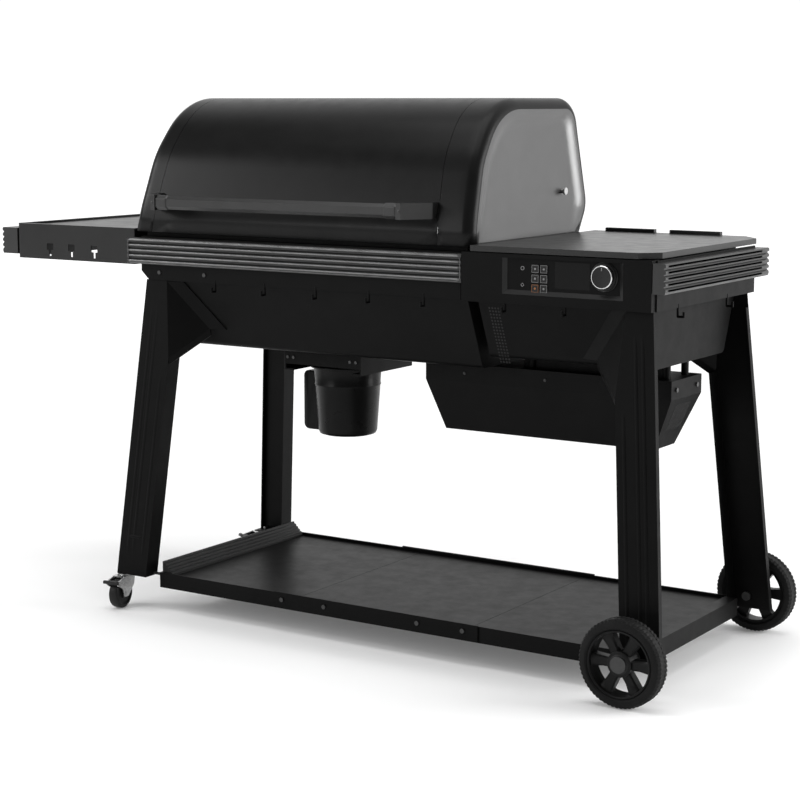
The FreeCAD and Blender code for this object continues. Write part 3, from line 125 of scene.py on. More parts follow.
def surface(name, dark, light, rough, grain=900.0, grain_depth=0.00008, metallic=0.0, specular=0.5,
            stretch=None, mottle=6.0):
    """Mottled colour, uneven roughness and a fine grain."""
    m = Maker(name)
    m.shader.inputs["Metallic"].default_value = metallic
    m.shader.inputs["Specular IOR Level"].default_value = specular
    colour = m.ramp(m.noise(mottle, 5.0, 0.6), [(NOISE_LOW, dark), (NOISE_HIGH, light)])
    m.link(colour, m.shader.inputs["Base Color"])
    m.link(m.spread(m.noise(mottle * 5.0, 4.0, 0.6), rough[0], rough[1]), m.shader.inputs["Roughness"])
    m.bump(m.noise(grain, 2.0, 0.5, stretch), 0.35, grain_depth)
    return m.material


powder = surface("powder_coat", grey(0.0030), grey(0.0045), (0.38, 0.48), specular=0.065)
lid_paint = surface("lid_enamel", grey(0.005), grey(0.0075), (0.30, 0.36), grain=1000.0, grain_depth=0.00006,
                    specular=0.12)
# Lighter copy of the lid's black for the caps' flat faces: a painted reflection of the side light on the lid's
# ends.
cap_painted_reflection = surface("cap_enamel", grey(0.020), grey(0.027), (0.28, 0.33), grain=1200.0, grain_depth=0.00003,
                    specular=1.0)
trim = surface("dark_trim", grey(0.010), grey(0.014), (0.28, 0.38), grain=1100.0, specular=0.45)
# Lighter copy of the black powder coat for the side shelf: a painted reflection of the light on its top.
shelf_painted_reflection = surface("shelf_coat_painted_reflection", grey(0.008), grey(0.012), (0.30, 0.38), specular=0.28)
shelf_floor_paint = surface("shelf_floor_coat", grey(0.0035), grey(0.0055), (0.34, 0.42), specular=0.06)
# Lighter copy of the black coat for the hopper lid: a painted reflection of the light on its top.
hopper_lid_painted_reflection = surface("hopper_top_painted_reflection", grey(0.009), grey(0.013), (0.28, 0.36), specular=0.32)
# Bright metal for the lines on the rail ribs: painted highlights standing in for light catching the ridges.
painted_highlight_metal = surface("painted_highlight_metal", grey(0.10), grey(0.15), (0.28, 0.38), metallic=0.7, mottle=30.0,
                     stretch=(1, 30, 30))
screw_black = surface("screw_black", grey(0.030), grey(0.045), (0.30, 0.42), mottle=60.0, metallic=0.4)
mill_steel = surface("inner_steel", grey(0.30), grey(0.42), (0.28, 0.42), metallic=1.0, stretch=(1, 30, 30))
zinc = surface("zinc_plate", grey(0.42), grey(0.58), (0.22, 0.34), metallic=1.0, mottle=60.0)
cast = surface("grate_enamel", grey(0.010), grey(0.018), (0.45, 0.6), grain=500.0, grain_depth=0.0002)
wire = surface("chrome_wire", grey(0.60), grey(0.72), (0.08, 0.16), metallic=1.0, mottle=40.0)
plastic = surface("black_plastic", grey(0.006), grey(0.009), (0.42, 0.55), grain=1600.0, specular=0.25)
rim_plastic = surface("rim_plastic", grey(0.006), grey(0.010), (0.35, 0.48), grain=1400.0, specular=0.12)
keg_paint = surface("keg_enamel", grey(0.004), grey(0.006), (0.26, 0.34), grain=1300.0, grain_depth=0.00004,
                    specular=0.10)
gloss = surface("display_gloss", grey(0.003), grey(0.004), (0.10, 0.14), grain=200.0,
                grain_depth=0.00001, specular=0.12)
rubber = surface("tyre_rubber", grey(0.007), grey(0.011), (0.55, 0.7), grain=700.0,
                 grain_depth=0.00015, specular=0.12)
legend = surface("legend_white", grey(0.17), grey(0.22), (0.5, 0.6), mottle=80.0)
legend_orange = surface("legend_orange", (0.26, 0.09, 0.02), (0.32, 0.12, 0.03), (0.5, 0.6), mottle=80.0)
shadow = surface("slot_shadow", grey(0.002), grey(0.004), (0.7, 0.8), mottle=40.0)

by_slot = {"powder_coat": powder, "cap_enamel": cap_painted_reflection, "dark_trim": trim, "inner_steel": mill_steel,
           "zinc": zinc, "cast_grate": cast, "chrome_wire": wire, "black_plastic": plastic,
           "keg_enamel": keg_paint, "display": gloss, "tyre_rubber": rubber}


# ---------------------------------------------------------------- mesh helpers
def paint(obj, material):
    obj.data.materials.clear()
    obj.data.materials.append(material)


def soften(obj, width, segments=2, angle=35.0):
    """Rounds the sharp edges a little and keeps the faces flat between them."""
    bevel = obj.modifiers.new("edges", "BEVEL")
    bevel.width = width
    bevel.segments = segments
    bevel.limit_method = "ANGLE"
    bevel.angle_limit = math.radians(angle)
    bevel.use_clamp_overlap = True
    normals = obj.modifiers.new("normals", "WEIGHTED_NORMAL")
    normals.keep_sharp = True


def piece(name, verts, faces, material, body, slot_name, smooth=True, sharp=40.0):
    """New mesh object that rides on a CAD body."""
    mesh = bpy.data.meshes.new(name)
    mesh.from_pydata([tuple(v) for v in verts], [], faces)
    mesh.validate()
    shape = bmesh.new()
    shape.from_mesh(mesh)
    bmesh.ops.remove_doubles(shape, verts=shape.verts, dist=1e-6)
    bmesh.ops.recalc_face_normals(shape, faces=shape.faces)
    shape.to_mesh(mesh)
    shape.free()
    for polygon in mesh.polygons:
        polygon.use_smooth = smooth
    if smooth:
        mesh.set_sharp_from_angle(angle=math.radians(sharp))
    obj = bpy.data.objects.new(name, mesh)
    bpy.context.scene.collection.objects.link(obj)
    paint(obj, material)
    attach(obj, body)
    return obj


def grid_faces(rows, columns, close_columns=False, start=0):
    faces = []
    last = columns if close_columns else columns - 1
    for i in range(rows - 1):
        for j in range(last):
            k = (j + 1) % columns
            a, b = start + i * columns, start + (i + 1) * columns
            faces.append((a + j, a + k, b + k, b + j))
    return faces


def frame_of(axis):
    """Two directions square to an axis."""
    axis = Vector(axis).normalized()
    side = Vector((0, 0, 1)) if abs(axis.z) < 0.9 else Vector((1, 0, 0))
    u = (side - axis * side.dot(axis)).normalized()
    return axis, u, axis.cross(u)


def lathe(profile, centre, axis, segments, radius_change=None):
    """Verts and faces of a closed profile (radius, along) turned about an axis through centre."""
    axis, u, v = frame_of(axis)
    centre = Vector(centre)
    verts = []
    for i in range(segments):
        angle = 2 * math.pi * i / segments
        out = u * math.cos(angle) + v * math.sin(angle)
        for j, (radius, along) in enumerate(profile):
            change = radius_change(i, j) if radius_change else 0.0
            verts.append(centre + out * (radius + change) + axis * along)
    count = len(profile)
    faces = []
    for i in range(segments):
        k = (i + 1) % segments
        for j in range(count):
            n = (j + 1) % count
            faces.append((i * count + j, k * count + j, k * count + n, i * count + n))
    return verts, faces


def block(low, high):
    """Verts and faces of a box between two corners."""
    (x0, y0, z0), (x1, y1, z1) = low, high
    verts = [(x, y, z) for z in (z0, z1) for y in (y0, y1) for x in (x0, x1)]
    return verts, BOX_FACES


def merged(parts):
    """One list of verts and faces from several."""
    verts, faces = [], []
    for some_verts, some_faces in parts:
        start = len(verts)
        verts.extend(some_verts)
        faces.extend(tuple(i + start for i in face) for face in some_faces)
    return verts, faces


def button_head(centre, axis, radius, height):
    """Domed screw head with a recess."""
    profile = [(radius * 0.28, height * 0.55), (radius * 0.34, height), (radius * 0.6, height * 0.98),
               (radius * 0.88, height * 0.7), (radius, 0.0), (radius * 0.28, 0.0)]
    recess = [(0.0001, height * 0.5), (radius * 0.3, height * 0.5), (radius * 0.3, height * 0.4),
              (0.0001, height * 0.4)]
    return merged([lathe(profile, centre, axis, 20), lathe(recess, centre, axis, 12)])


# ---------------------------------------------------------------- lid
def rounded(points, step=5.0):
    """Open outline (y, z) with its corners rounded, as points and outward normals."""
    result = [Vector(points[0][:2])]
    for i in range(1, len(points) - 1):
        corner, radius = Vector(points[i][:2]), points[i][2]
        before = (Vector(points[i - 1][:2]) - corner).normalized()
        after = (Vector(points[i + 1][:2]) - corner).normalized()
        half = before.angle(after) / 2
        back = radius / math.tan(half)
        centre = corner + (before + after).normalized() * (radius / math.sin(half))
        start, end = corner + before * back - centre, corner + after * back - centre
        turn = start.angle(end)
        count = max(3, math.ceil(math.degrees(turn) / step))
        for k in range(count + 1):
            t = k / count
            weight_a = math.sin((1 - t) * turn) / math.sin(turn)
            weight_b = math.sin(t * turn) / math.sin(turn)
            result.append(centre + start * weight_a + end * weight_b)
    result.append(Vector(points[-1][:2]))
    normals = []
    for i in range(len(result)):
        a, b = result[max(i - 1, 0)], result[min(i + 1, len(result) - 1)]
        tangent = (b - a).normalized()
        normals.append(Vector((-tangent.y, tangent.x)))
    return result, normals


shell_low, shell_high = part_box("lid_shell")
caps_low, caps_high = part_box("lid_caps")
lid_y0, lid_y1 = shell_low.y, shell_high.y
lid_z0, lid_z1 = shell_low.z, shell_high.z
lid_x0, lid_x1 = caps_low.x, caps_high.x
lid_lean = 0.025
lid_height = lid_z1 - lid_z0
roll = 0.024
seam_left, seam_right = 0.057, 0.082
seam_gap = 0.0005
edge_inset = 0.001
lid_sheet = 0.0025
rear_crest = lid_y0 + 0.542
# Corners as (y, z, radius), from the front edge over the top to the rear edge.
lid_points = [(lid_y0, lid_z0), (lid_y0 + 0.0105, lid_z0 + 0.054, 0.300),
              (lid_y0 + 0.054, lid_z0 + 0.180, 0.200), (lid_y0 + 0.1507, lid_z1, 0.190),
              (rear_crest - 0.035, lid_z1, 0.062), (rear_crest, lid_z0 + 0.060, 0.070),
              (rear_crest - 0.045, lid_z0)]
outline, outline_normals = rounded(lid_points)


def lid_ring(end, inset, distance):
    """Profile at a distance from one leaning end, moved inwards by inset."""
    ring = []
    last = len(outline) - 1
    for i, (point, normal) in enumerate(zip(outline, outline_normals)):
        spot = point - normal * inset
        if i in (0, last):
            other = outline[1] if i == 0 else outline[last - 1]
            tangent = (other - point).normalized()
            spot = spot + tangent * ((lid_z0 - spot.y) / tangent.y)
        lean = lid_lean * (spot.y - lid_z0) / lid_height
        x = lid_x0 + lean + distance if end < 0 else lid_x1 - lean - distance
        ring.append(Vector((x, spot.x, spot.y)))
    return ring


def thicken(obj, thickness):
    solid = obj.modifiers.new("sheet", "SOLIDIFY")
    solid.thickness = thickness
    solid.offset = -1.0


def lid_skin():
    columns = len(outline)
    left = lid_ring(-1, 0.0, seam_left + seam_gap)
    right = lid_ring(1, 0.0, seam_right + seam_gap)
    edge_left = lid_ring(-1, edge_inset, seam_left + seam_gap)
    edge_right = lid_ring(1, edge_inset, seam_right + seam_gap)
    rows, spans = [edge_left], 12
    for i in range(spans + 1):
        t = i / spans
        rows.append([a.lerp(b, t) for a, b in zip(left, right)])
    rows.append(edge_right)
    obj = piece("lid_skin", [v for row in rows for v in row], grid_faces(len(rows), columns), lid_paint,
                "lid", "powder_coat", sharp=50.0)
    thicken(obj, lid_sheet)
    return obj


def smooth_step(low, high, value):
    t = min(max((value - low) / (high - low), 0.0), 1.0)
    return t * t * (3 - 2 * t)


crease_z = lid_z0 + 0.067
press_depth = 0.0075
press_start, press_full = 0.006, 0.040


def cap_press(z, border):
    """How deep the cap's face is pressed in at a height; border is the distance to the face's edge."""
    inside = smooth_step(press_start, press_full, border)
    foot = min(max((z - lid_z0) / (crease_z - lid_z0), 0.0), 1.0)
    return inside * press_depth * foot


def lid_cap(end):
    """Pressed end cap: rolled edge, a face with a pressed panel, and a skirt up to the seam."""
    seam = seam_left if end < 0 else seam_right
    rows = []
    reach = seam - seam_gap
    rows.append(lid_ring(end, edge_inset, reach))
    for i in range(5):
        rows.append(lid_ring(end, 0.0, roll + (reach - roll) * (1 - i / 4)))
    steps = 8
    for i in range(1, steps + 1):
        angle = math.pi / 2 * (1 - i / steps)
        rows.append(lid_ring(end, roll * (1 - math.sin(angle)), roll * (1 - math.cos(angle))))
    columns = len(outline)
    verts = [v for row in rows for v in row]
    faces = grid_faces(len(rows), columns)
    rolled_faces = len(faces)
    rim = rows[-1]
    base = [rim[-1].lerp(rim[0], (i + 1) / 12) for i in range(11)]
    border = rim + base
    hub_share = 0.45
    hub = Vector((0, (lid_y0 + lid_y1) / 2, lid_z0 + lid_height * hub_share))
    hub.x = (lid_x0 if end < 0 else lid_x1) - end * lid_lean * hub_share
    rings = 22
    start = len(verts)
    for k in range(rings):
        for spot in border:
            place = spot.lerp(hub, k / rings)
            press = cap_press(place.z, (place - spot).length)
            verts.append((place.x - end * press, place.y, place.z))
    verts.append((hub.x - end * cap_press(hub.z, press_full), hub.y, hub.z))
    count = len(border)
    faces += grid_faces(rings, count, close_columns=True, start=start)
    centre = len(verts) - 1
    inner = start + (rings - 1) * count
    faces += [(inner + j, inner + (j + 1) % count, centre) for j in range(count)]
    name = "lid_cap_left" if end < 0 else "lid_cap_right"
    # The flat face takes the lighter cap colour, a painted reflection; the rolled edge keeps the lid's black.
    obj = piece(name, verts, faces, cap_painted_reflection, "lid", "cap_enamel", sharp=60.0)
    obj.data.materials.append(lid_paint)
    for polygon in obj.data.polygons:
        if polygon.index < rolled_faces:
            polygon.material_index = 1
    thicken(obj, lid_sheet)
    return obj


skin = lid_skin()
lid_cap(-1)
right_cap = lid_cap(1)
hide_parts("lid_shell")
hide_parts("lid_caps")

# ---------------------------------------------------------------- handle trim
handle_low, handle_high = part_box("lid_handle")
bar_z = (handle_low.z + handle_high.z) / 2
bar_y = handle_low.y + 0.013
bar_x0, bar_x1 = handle_low.x + 0.053, handle_high.x - 0.053


def handle_collars():
    """Cast collar round each end of the bar, with a rivet through it."""
    parts, rivets = [], []
    for x, side in ((bar_x0, 1), (bar_x1, -1)):
        half_y, half_z = 0.0125, 0.0172
        ring = []
        for dx in (0.0, 0.004, 0.030, 0.033):
            grow = -0.0015 if dx in (0.0, 0.033) else 0.0
            corners = [(-half_y - grow, -half_z * 0.55), (-half_y - grow, half_z * 0.55),
                       (-half_y * 0.2, half_z + grow), (half_y + grow, half_z * 0.6),
                       (half_y + grow, -half_z * 0.6), (-half_y * 0.2, -half_z - grow)]
            ring.append([Vector((x + side * dx, bar_y + a, bar_z + b)) for a, b in corners])
        verts = [v for row in ring for v in row]
        faces = grid_faces(4, 6, close_columns=True)
        faces += [tuple(range(6)), tuple(range(18, 24))]
        parts.append((verts, faces))
        rivets.append(button_head((x - side * 0.008, bar_y - 0.0128, bar_z), (0, -1, 0), 0.0035, 0.0015))
    collars = piece("handle_collars", *merged(parts), trim, "lid", "dark_trim", smooth=False)
    soften(collars, 0.0012)
    piece("handle_rivets", *merged(rivets), screw_black, "lid", "zinc")


handle_collars()


# ---------------------------------------------------------------- wheels
def wheel(side, body):
    """Tyre with a blocked tread, and a six-spoked rim with a hub cap."""
    low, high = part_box("tyre_" + side)
    centre = Vector(((low.x + high.x) / 2, (low.y + high.y) / 2, (low.z + high.z) / 2))
    outer = (high.x - low.x) / 2
    half = (high.y - low.y) / 2
    face = -1 if side == "front" else 1
    axis = (0, face, 0)
    inner = outer - 0.0205
    tyre_profile = [(inner, -half + 0.004), (inner + 0.004, -half), (outer - 0.012, -half),
                    (outer - 0.004, -half + 0.003), (outer, -half + 0.009), (outer, -half + 0.017),
                    (outer - 0.0012, -half + 0.0175), (outer - 0.0012, half - 0.0175),
                    (outer, half - 0.017), (outer, half - 0.009), (outer - 0.004, half - 0.003),
                    (outer - 0.012, half), (inner + 0.004, half), (inner, half - 0.004)]
    tread = {3, 4, 5, 8, 9, 10}

    def blocks(i, j):
        return -0.0016 if j in tread and i % 3 == 0 else 0.0

    verts, faces = lathe(tyre_profile, centre, axis, 180, blocks)
    tyre = piece("tread_tyre_" + side, verts, faces, rubber, body, "tyre_rubber", sharp=30.0)
    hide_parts("tyre_" + side)
    lip = [(inner - 0.006, -half + 0.006), (inner, -half + 0.006), (inner, half - 0.004),
           (inner - 0.002, half - 0.002), (inner - 0.005, half - 0.003), (inner - 0.006, half - 0.008)]
    hub = [(0.0066, -half + 0.006), (0.026, -half + 0.006), (0.027, half - 0.012), (0.0262, half - 0.006),
           (0.0230, half - 0.0045), (0.0066, half - 0.0045)]
    parts = [lathe(lip, centre, axis, 96), lathe(hub, centre, axis, 48)]
    along, u, v = frame_of(axis)
    for i in range(6):
        angle = math.radians(60 * i + 30)
        out = u * math.cos(angle) + v * math.sin(angle)
        across = along.cross(out)
        rows = []
        for r, wide, front in ((0.022, 0.0100, half - 0.010), (0.040, 0.0105, half - 0.0125),
                               (inner - 0.012, 0.0125, half - 0.011), (inner - 0.003, 0.016, half - 0.009)):
            spot = centre + out * r
            ring = [(-wide, front - 0.020), (-wide, front - 0.003), (-wide * 0.7, front), (wide * 0.7, front),
                    (wide, front - 0.003), (wide, front - 0.020)]
            rows.append([spot + across * a + along * b for a, b in ring])
        faces = grid_faces(4, 6, close_columns=True) + [tuple(range(6)), tuple(range(18, 24))]
        parts.append(([p for row in rows for p in row], faces))
    rim = piece("spoked_rim_" + side, *merged(parts), rim_plastic, body, "black_plastic", sharp=35.0)
    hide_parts("rim_" + side)
    cap = [(0.0005, half - 0.0028), (0.012, half - 0.0028), (0.0180, half - 0.0033), (0.0205, half - 0.0045),
           (0.0205, half - 0.0055), (0.0005, half - 0.0055)]
    piece("hub_cap_" + side, *lathe(cap, centre, axis, 48), plastic, body, "black_plastic", sharp=30.0)


wheel("front", "front_wheel")
wheel("rear", "rear_wheel")


# ---------------------------------------------------------------- caster wheels
def caster_wheel(side):
    name = side + "_caster_spin"
    joint = joints[name]
    centre, axis = Vector(joint["pos_m"]), Vector(joint["axis"])
    radius, half = 0.0355, 0.012
    tread_profile = [(0.0042, -half), (0.012, -half), (0.013, -half + 0.003), (0.026, -half + 0.003),
                     (0.028, -half), (radius - 0.004, -half), (radius - 0.001, -half + 0.002),
                     (radius, -half + 0.005), (radius, half - 0.005), (radius - 0.001, half - 0.002),
                     (radius - 0.004, half), (0.028, half), (0.026, half - 0.003), (0.013, half - 0.003),
                     (0.012, half), (0.0042, half)]
    obj = piece("tread_wheel_" + side, *lathe(tread_profile, centre, axis, 72), plastic,
                side + "_caster_wheel", "black_plastic", sharp=35.0)
    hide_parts("caster_wheel_" + side)


caster_wheel("front")
caster_wheel("rear")


# ---------------------------------------------------------------- grease keg
def keg():
    low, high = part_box("grease_keg")
    rim_r = (high.y - low.y) / 2
    centre = Vector((high.x - rim_r, (low.y + high.y) / 2, 0))
    top, bottom = high.z, low.z
    r0, r1 = rim_r - 0.008, 0.0685
    wall = 0.0016
    step_z = top - 0.044
    mid_r = r1 + (r0 - r1) * (step_z - bottom) / (top - bottom)
    outside = [(r1 - 0.012, bottom), (r1 - 0.003, bottom + 0.0025), (r1, bottom + 0.009),
               (mid_r, step_z - 0.003), (mid_r + 0.0016, step_z - 0.0012),
               (mid_r + 0.0016, step_z + 0.0008), (mid_r + 0.0003, step_z + 0.003), (r0, top - 0.006),
               (rim_r - 0.001, top - 0.0045), (rim_r, top - 0.002), (rim_r - 0.001, top)]
    inside = [(r0 - wall, top), (mid_r - wall, step_z), (r1 - wall, bottom + 0.010),
              (r1 - 0.013, bottom + wall)]
    base = [(0.0004, bottom), (r1 - 0.011, bottom), (r1 - 0.011, bottom + wall), (0.0004, bottom + wall)]
    turned = [lathe(section, centre, (0, 0, 1), 96) for section in (outside + inside, base)]
    bowl = piece("keg_bowl", *merged(turned), keg_paint, "keg", "keg_enamel", sharp=50.0)
    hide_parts("grease_keg")
    x0, x1 = low.x, centre.x - r1 + 0.006
    z0, z1 = bottom + 0.002, top - 0.020
    corner = 0.014
    ring = [(x1, z0)]
    for cx, cz, a0 in ((x0 + corner, z0 + corner, 270), (x0 + corner, z1 - corner, 180)):
        for k in range(7):
            angle = math.radians(a0 - 15 * k)
            ring.append((cx + corner * math.cos(angle), cz + corner * math.sin(angle)))
    ring.append((x1, z1))
    sections = []
    mid = ((x0 + x1) / 2, (z0 + z1) / 2)
    for dy, shrink in ((-0.013, 0.003), (-0.0105, 0.0), (0.0105, 0.0), (0.013, 0.003)):
        row = []
        for x, z in ring:
            sx = x + (shrink if x < mid[0] else 0)
            sz = z - math.copysign(shrink, z - mid[1])
            row.append(Vector((sx, centre.y + dy, sz)))
        sections.append(row)
    count = len(ring)
    faces = grid_faces(4, count, close_columns=True)
    faces += [tuple(range(count)), tuple(range(3 * count, 4 * count))]
    piece("keg_grip", [v for row in sections for v in row], faces, keg_paint, "keg", "keg_enamel", sharp=35.0)


keg()


# ---------------------------------------------------------------- dial, keys and panel
def dial():
    low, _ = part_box("knob")
    centre = Vector(joints["dial_turn"]["pos_m"])
    radius, face_y = 0.024, low.y
    depth = centre.y - face_y - 0.008
    axis = (0, -1, 0)

    def knurl(i, j):
        return -0.0005 if i % 2 and j in (3, 4, 5) else 0.0

    body_profile = [(0.0005, depth - 0.0012), (radius - 0.0040, depth - 0.0012),
                    (radius - 0.0012, depth - 0.0005), (radius, depth - 0.003), (radius, 0.004),
                    (radius, -0.001), (radius + 0.0028, -0.002), (radius + 0.0028, -0.0055),
                    (0.0005, -0.0055)]
    body = piece("dial_body", *lathe(body_profile, centre, axis, 96, knurl), plastic, "dial", "black_plastic",
                 sharp=30.0)
    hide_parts("knob")
    ring = [(radius - 0.0026, depth), (radius - 0.0014, depth), (radius - 0.0006, depth - 0.0008),
            (radius - 0.0006, depth - 0.002), (radius - 0.0026, depth - 0.002)]
    piece("dial_ring", *lathe(ring, centre, axis, 96), wire, "dial", "chrome_wire", sharp=30.0)
    mark = block((centre.x - 0.0008, face_y + 0.0084, centre.z + radius - 0.011),
                 (centre.x + 0.0008, face_y + 0.0096, centre.z + radius - 0.005))
    piece("dial_mark", *mark, legend, "dial", "black_plastic", smooth=False)
    bezel = [(radius + 0.0035, -0.0058), (radius + 0.0035, -0.0035), (radius + 0.0050, -0.0030),
             (radius + 0.0062, -0.0045), (radius + 0.0062, -0.0058)]
    piece("dial_bezel", *lathe(bezel, centre, axis, 96), trim, "grill", "dark_trim", sharp=30.0)


dial()


def square_outline(x, z, y, half, wide):
    """Thin raised square frame on a key's face."""
    inner = half - wide
    verts = []
    for depth in (y - 0.0002, y + 0.0004):
        for reach in (half, inner):
            verts += [(x - reach, depth, z - reach), (x + reach, depth, z - reach),
                      (x + reach, depth, z + reach), (x - reach, depth, z + reach)]
    faces = []
    for i in range(4):
        k = (i + 1) % 4
        faces += [(i, k, 4 + k, 4 + i), (8 + i, 8 + k, 12 + k, 12 + i), (i, k, 8 + k, 8 + i),
                  (4 + i, 4 + k, 12 + k, 12 + i)]
    return verts, faces


def key_legends():
    for i in range(1, 7):
        low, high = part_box("button_%d" % i)
        x, z = (low.x + high.x) / 2, (low.z + high.z) / 2
        half = (high.x - low.x) / 2 - 0.0003
        material = legend_orange if i == 5 else legend
        piece("key_outline_%d" % i, *square_outline(x, z, low.y, half, 0.0007), material, "key_%d" % i,
              "black_plastic", smooth=False)
        dot = lathe([(0.0004, 0.0002), (0.0022, 0.0002), (0.0022, -0.0004), (0.0004, -0.0004)], (x, low.y, z),
                    (0, -1, 0), 20)
        piece("key_mark_%d" % i, *dot, material, "key_%d" % i, "black_plastic", sharp=30.0)


key_legends()

panel_low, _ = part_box("display_glass")
first_key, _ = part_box("button_1")


def panel_marks():
    """Two small white signs to the left of the keys."""
    x = first_key.x - 0.022
    parts = []
    for z, count in ((first_key.z + 0.008, 24), (first_key.z - 0.026, 4)):
        parts.append(lathe([(0.0030, 0.0003), (0.0042, 0.0003), (0.0042, -0.0003), (0.0030, -0.0003)],
                           (x, panel_low.y + 0.0006, z), (0, -1, 0), count))
    piece("panel_signs", *merged(parts), legend, "grill", "black_plastic", smooth=False)


panel_marks()

# ---------------------------------------------------------------- pressed ribs on the legs
frame_z = 0.776
fold_drop = 0.176
leg_rise = 0.706
face_slope = 0.056 / leg_rise


def leg_ribs(node):
    """Raised pressed lines down a leg's plate, and a dimple near its foot."""
    low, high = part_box(node)
    left, rear = "left" in node, "rear" in node
    side, face = -1 if left else 1, 1 if rear else -1
    side_slope = (0.064 if left else 0.056) / leg_rise
    outer_foot = low.x if left else high.x
    plane_foot = high.y if rear else low.y

    def place(inward, z):
        x = outer_foot - side * side_slope * (z - low.z) - side * inward
        y = plane_foot - face * face_slope * (z - low.z)
        return Vector((x, y, z))

    parts = []
    for inward, z0, z1 in ((0.025, low.z + 0.03, frame_z - 0.04), (0.041, low.z + 0.03, frame_z - 0.04),
                           (0.070, low.z + 0.03, frame_z - fold_drop - 0.02)):
        rows = []
        for k in range(13):
            t = k / 12
            z = z0 + (z1 - z0) * t
            height = (0.0009 if left else 0.0016) * min(1.0, 8 * t, 8 * (1 - t))
            spot = place(inward, z)
            row = []
            for angle in (0, 30, 60, 90, 120, 150, 180):
                a = math.radians(angle)
                row.append(spot + Vector((0.0042 * math.cos(a), face * (height * math.sin(a) - 0.0002), 0)))
            rows.append(row)
        parts.append(([v for row in rows for v in row], grid_faces(13, 7, close_columns=True)
                      + [tuple(range(7)), tuple(range(84, 91))]))
    rows = []
    for k in range(9):
        t = k / 8
        spot = place(0.022 + 0.044 * t, low.z + 0.092)
        height = 0.0016 * min(1.0, 4 * t, 4 * (1 - t))
        rows.append([spot + Vector((0, face * (height * math.sin(a) - 0.0002), 0.0035 * math.cos(a)))
                     for a in [math.pi * n / 6 for n in range(7)]])
    parts.append(([v for row in rows for v in row], grid_faces(9, 7, close_columns=True)
                  + [tuple(range(7)), tuple(range(56, 63))]))
    piece("ribs_" + node, *merged(parts), powder, "grill", "powder_coat", sharp=70.0)


for leg_node in ("leg_front_left", "leg_front_right", "leg_rear_left", "leg_rear_right"):
    leg_ribs(leg_node)


# ---------------------------------------------------------------- vents, dots and screws
def housing_vents():
    """Upright slots and screws on the right end of the drive housing."""
    low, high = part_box("drive_housing")
    band_low = high.z - 0.033 - 0.040
    parts, screws = [], []
    lean = 0.048 / 0.111
    for i in range(9):
        y = low.y + 0.042 + i * 0.008
        z1, z0 = band_low - 0.014, band_low - 0.070
        verts = []
        for z in (z0, z1):
            x = high.x - lean * (band_low - z)
            for dx in (-0.001, 0.0003):
                for dy in (0, 0.0028):
                    verts.append((x + dx, y + dy, z))
        parts.append((verts, BOX_FACES))
    piece("housing_vents", *merged(parts), shadow, "grill", "powder_coat", smooth=False)
    for dx in (0.10, 0.30, 0.48):
        screws.append(button_head((low.x + dx, low.y, band_low + 0.020), (0, -1, 0), 0.0035, 0.002))
    piece("housing_screws", *merged(screws), screw_black, "grill", "zinc")


def hopper_dots():
    """Upright strip of small holes down the front of the hopper's case."""
    low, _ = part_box("hopper_enclosure")
    knee_z, top_z, pitch = 0.775, 0.760, 0.007
    slope = 0.065 / 0.153
    parts = []
    for row in range(18):
        for column in range(4):
            z = top_z - row * pitch
            x = low.x + 0.024 + column * pitch
            y = low.y + slope * (knee_z - z)
            normal = Vector((0, -1, -slope)).normalized()
            parts.append(lathe([(0.0003, 0.0002), (0.0021, 0.0002), (0.0021, -0.001), (0.0003, -0.001)],
                               (x, y, z), normal, 10))
    piece("hopper_holes", *merged(parts), shadow, "grill", "powder_coat", smooth=False)


housing_vents()
hopper_dots()


def recess_bevel():
    """Pressed bevel round the lower edge and sides of the control panel's recess."""
    dial_at = Vector(joints["dial_turn"]["pos_m"])
    left, right = first_key.x - 0.066, dial_at.x + 0.044
    top, bottom = dial_at.z + 0.029, dial_at.z - 0.045
    run = 0.009
    front_y = dial_at.y - 0.0002
    outer = [(left, top), (left, bottom), (right, bottom), (right, top)]
    inner = [(left + run, top), (left + run, bottom + run), (right - run, bottom + run), (right - run, top)]
    verts = [(x, front_y, z) for x, z in outer] + [(x, front_y + 0.0058, z) for x, z in inner]
    verts += [(x, front_y + 0.0064, z) for x, z in outer]
    faces = []
    for i in range(3):
        faces += [(i, i + 1, i + 5, i + 4), (i + 4, i + 5, i + 9, i + 8), (i, i + 1, i + 9, i + 8)]
    faces += [(0, 4, 8), (3, 7, 11)]
    # The bevel takes the shelf's lighter coat, a painted reflection on the slanted strip.
    piece("recess_bevel", verts, faces, shelf_painted_reflection, "grill", "powder_coat", smooth=False)


def apron():
    """Sheet hanging from the hopper's case down to the drive housing."""
    low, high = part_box("drive_housing")
    case_low, case_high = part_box("hopper_enclosure")
    left, right, back = case_low.x + 0.020, case_high.x - 0.030, low.y + 0.0325
    sheet = block((left, low.y + 0.030, high.z - 0.034), (right, back, high.z + 0.002))
    hem = block((left, low.y + 0.026, high.z - 0.0005), (right, back, high.z + 0.001))
    obj = piece("hopper_apron", *merged([sheet, hem]), powder, "grill", "powder_coat", smooth=False)
    soften(obj, 0.0008)


recess_bevel()
apron()

rail_ribs = 5
highlight_place = 0.42      # a bead's place on its rib, as a share of the pitch from the rib's top


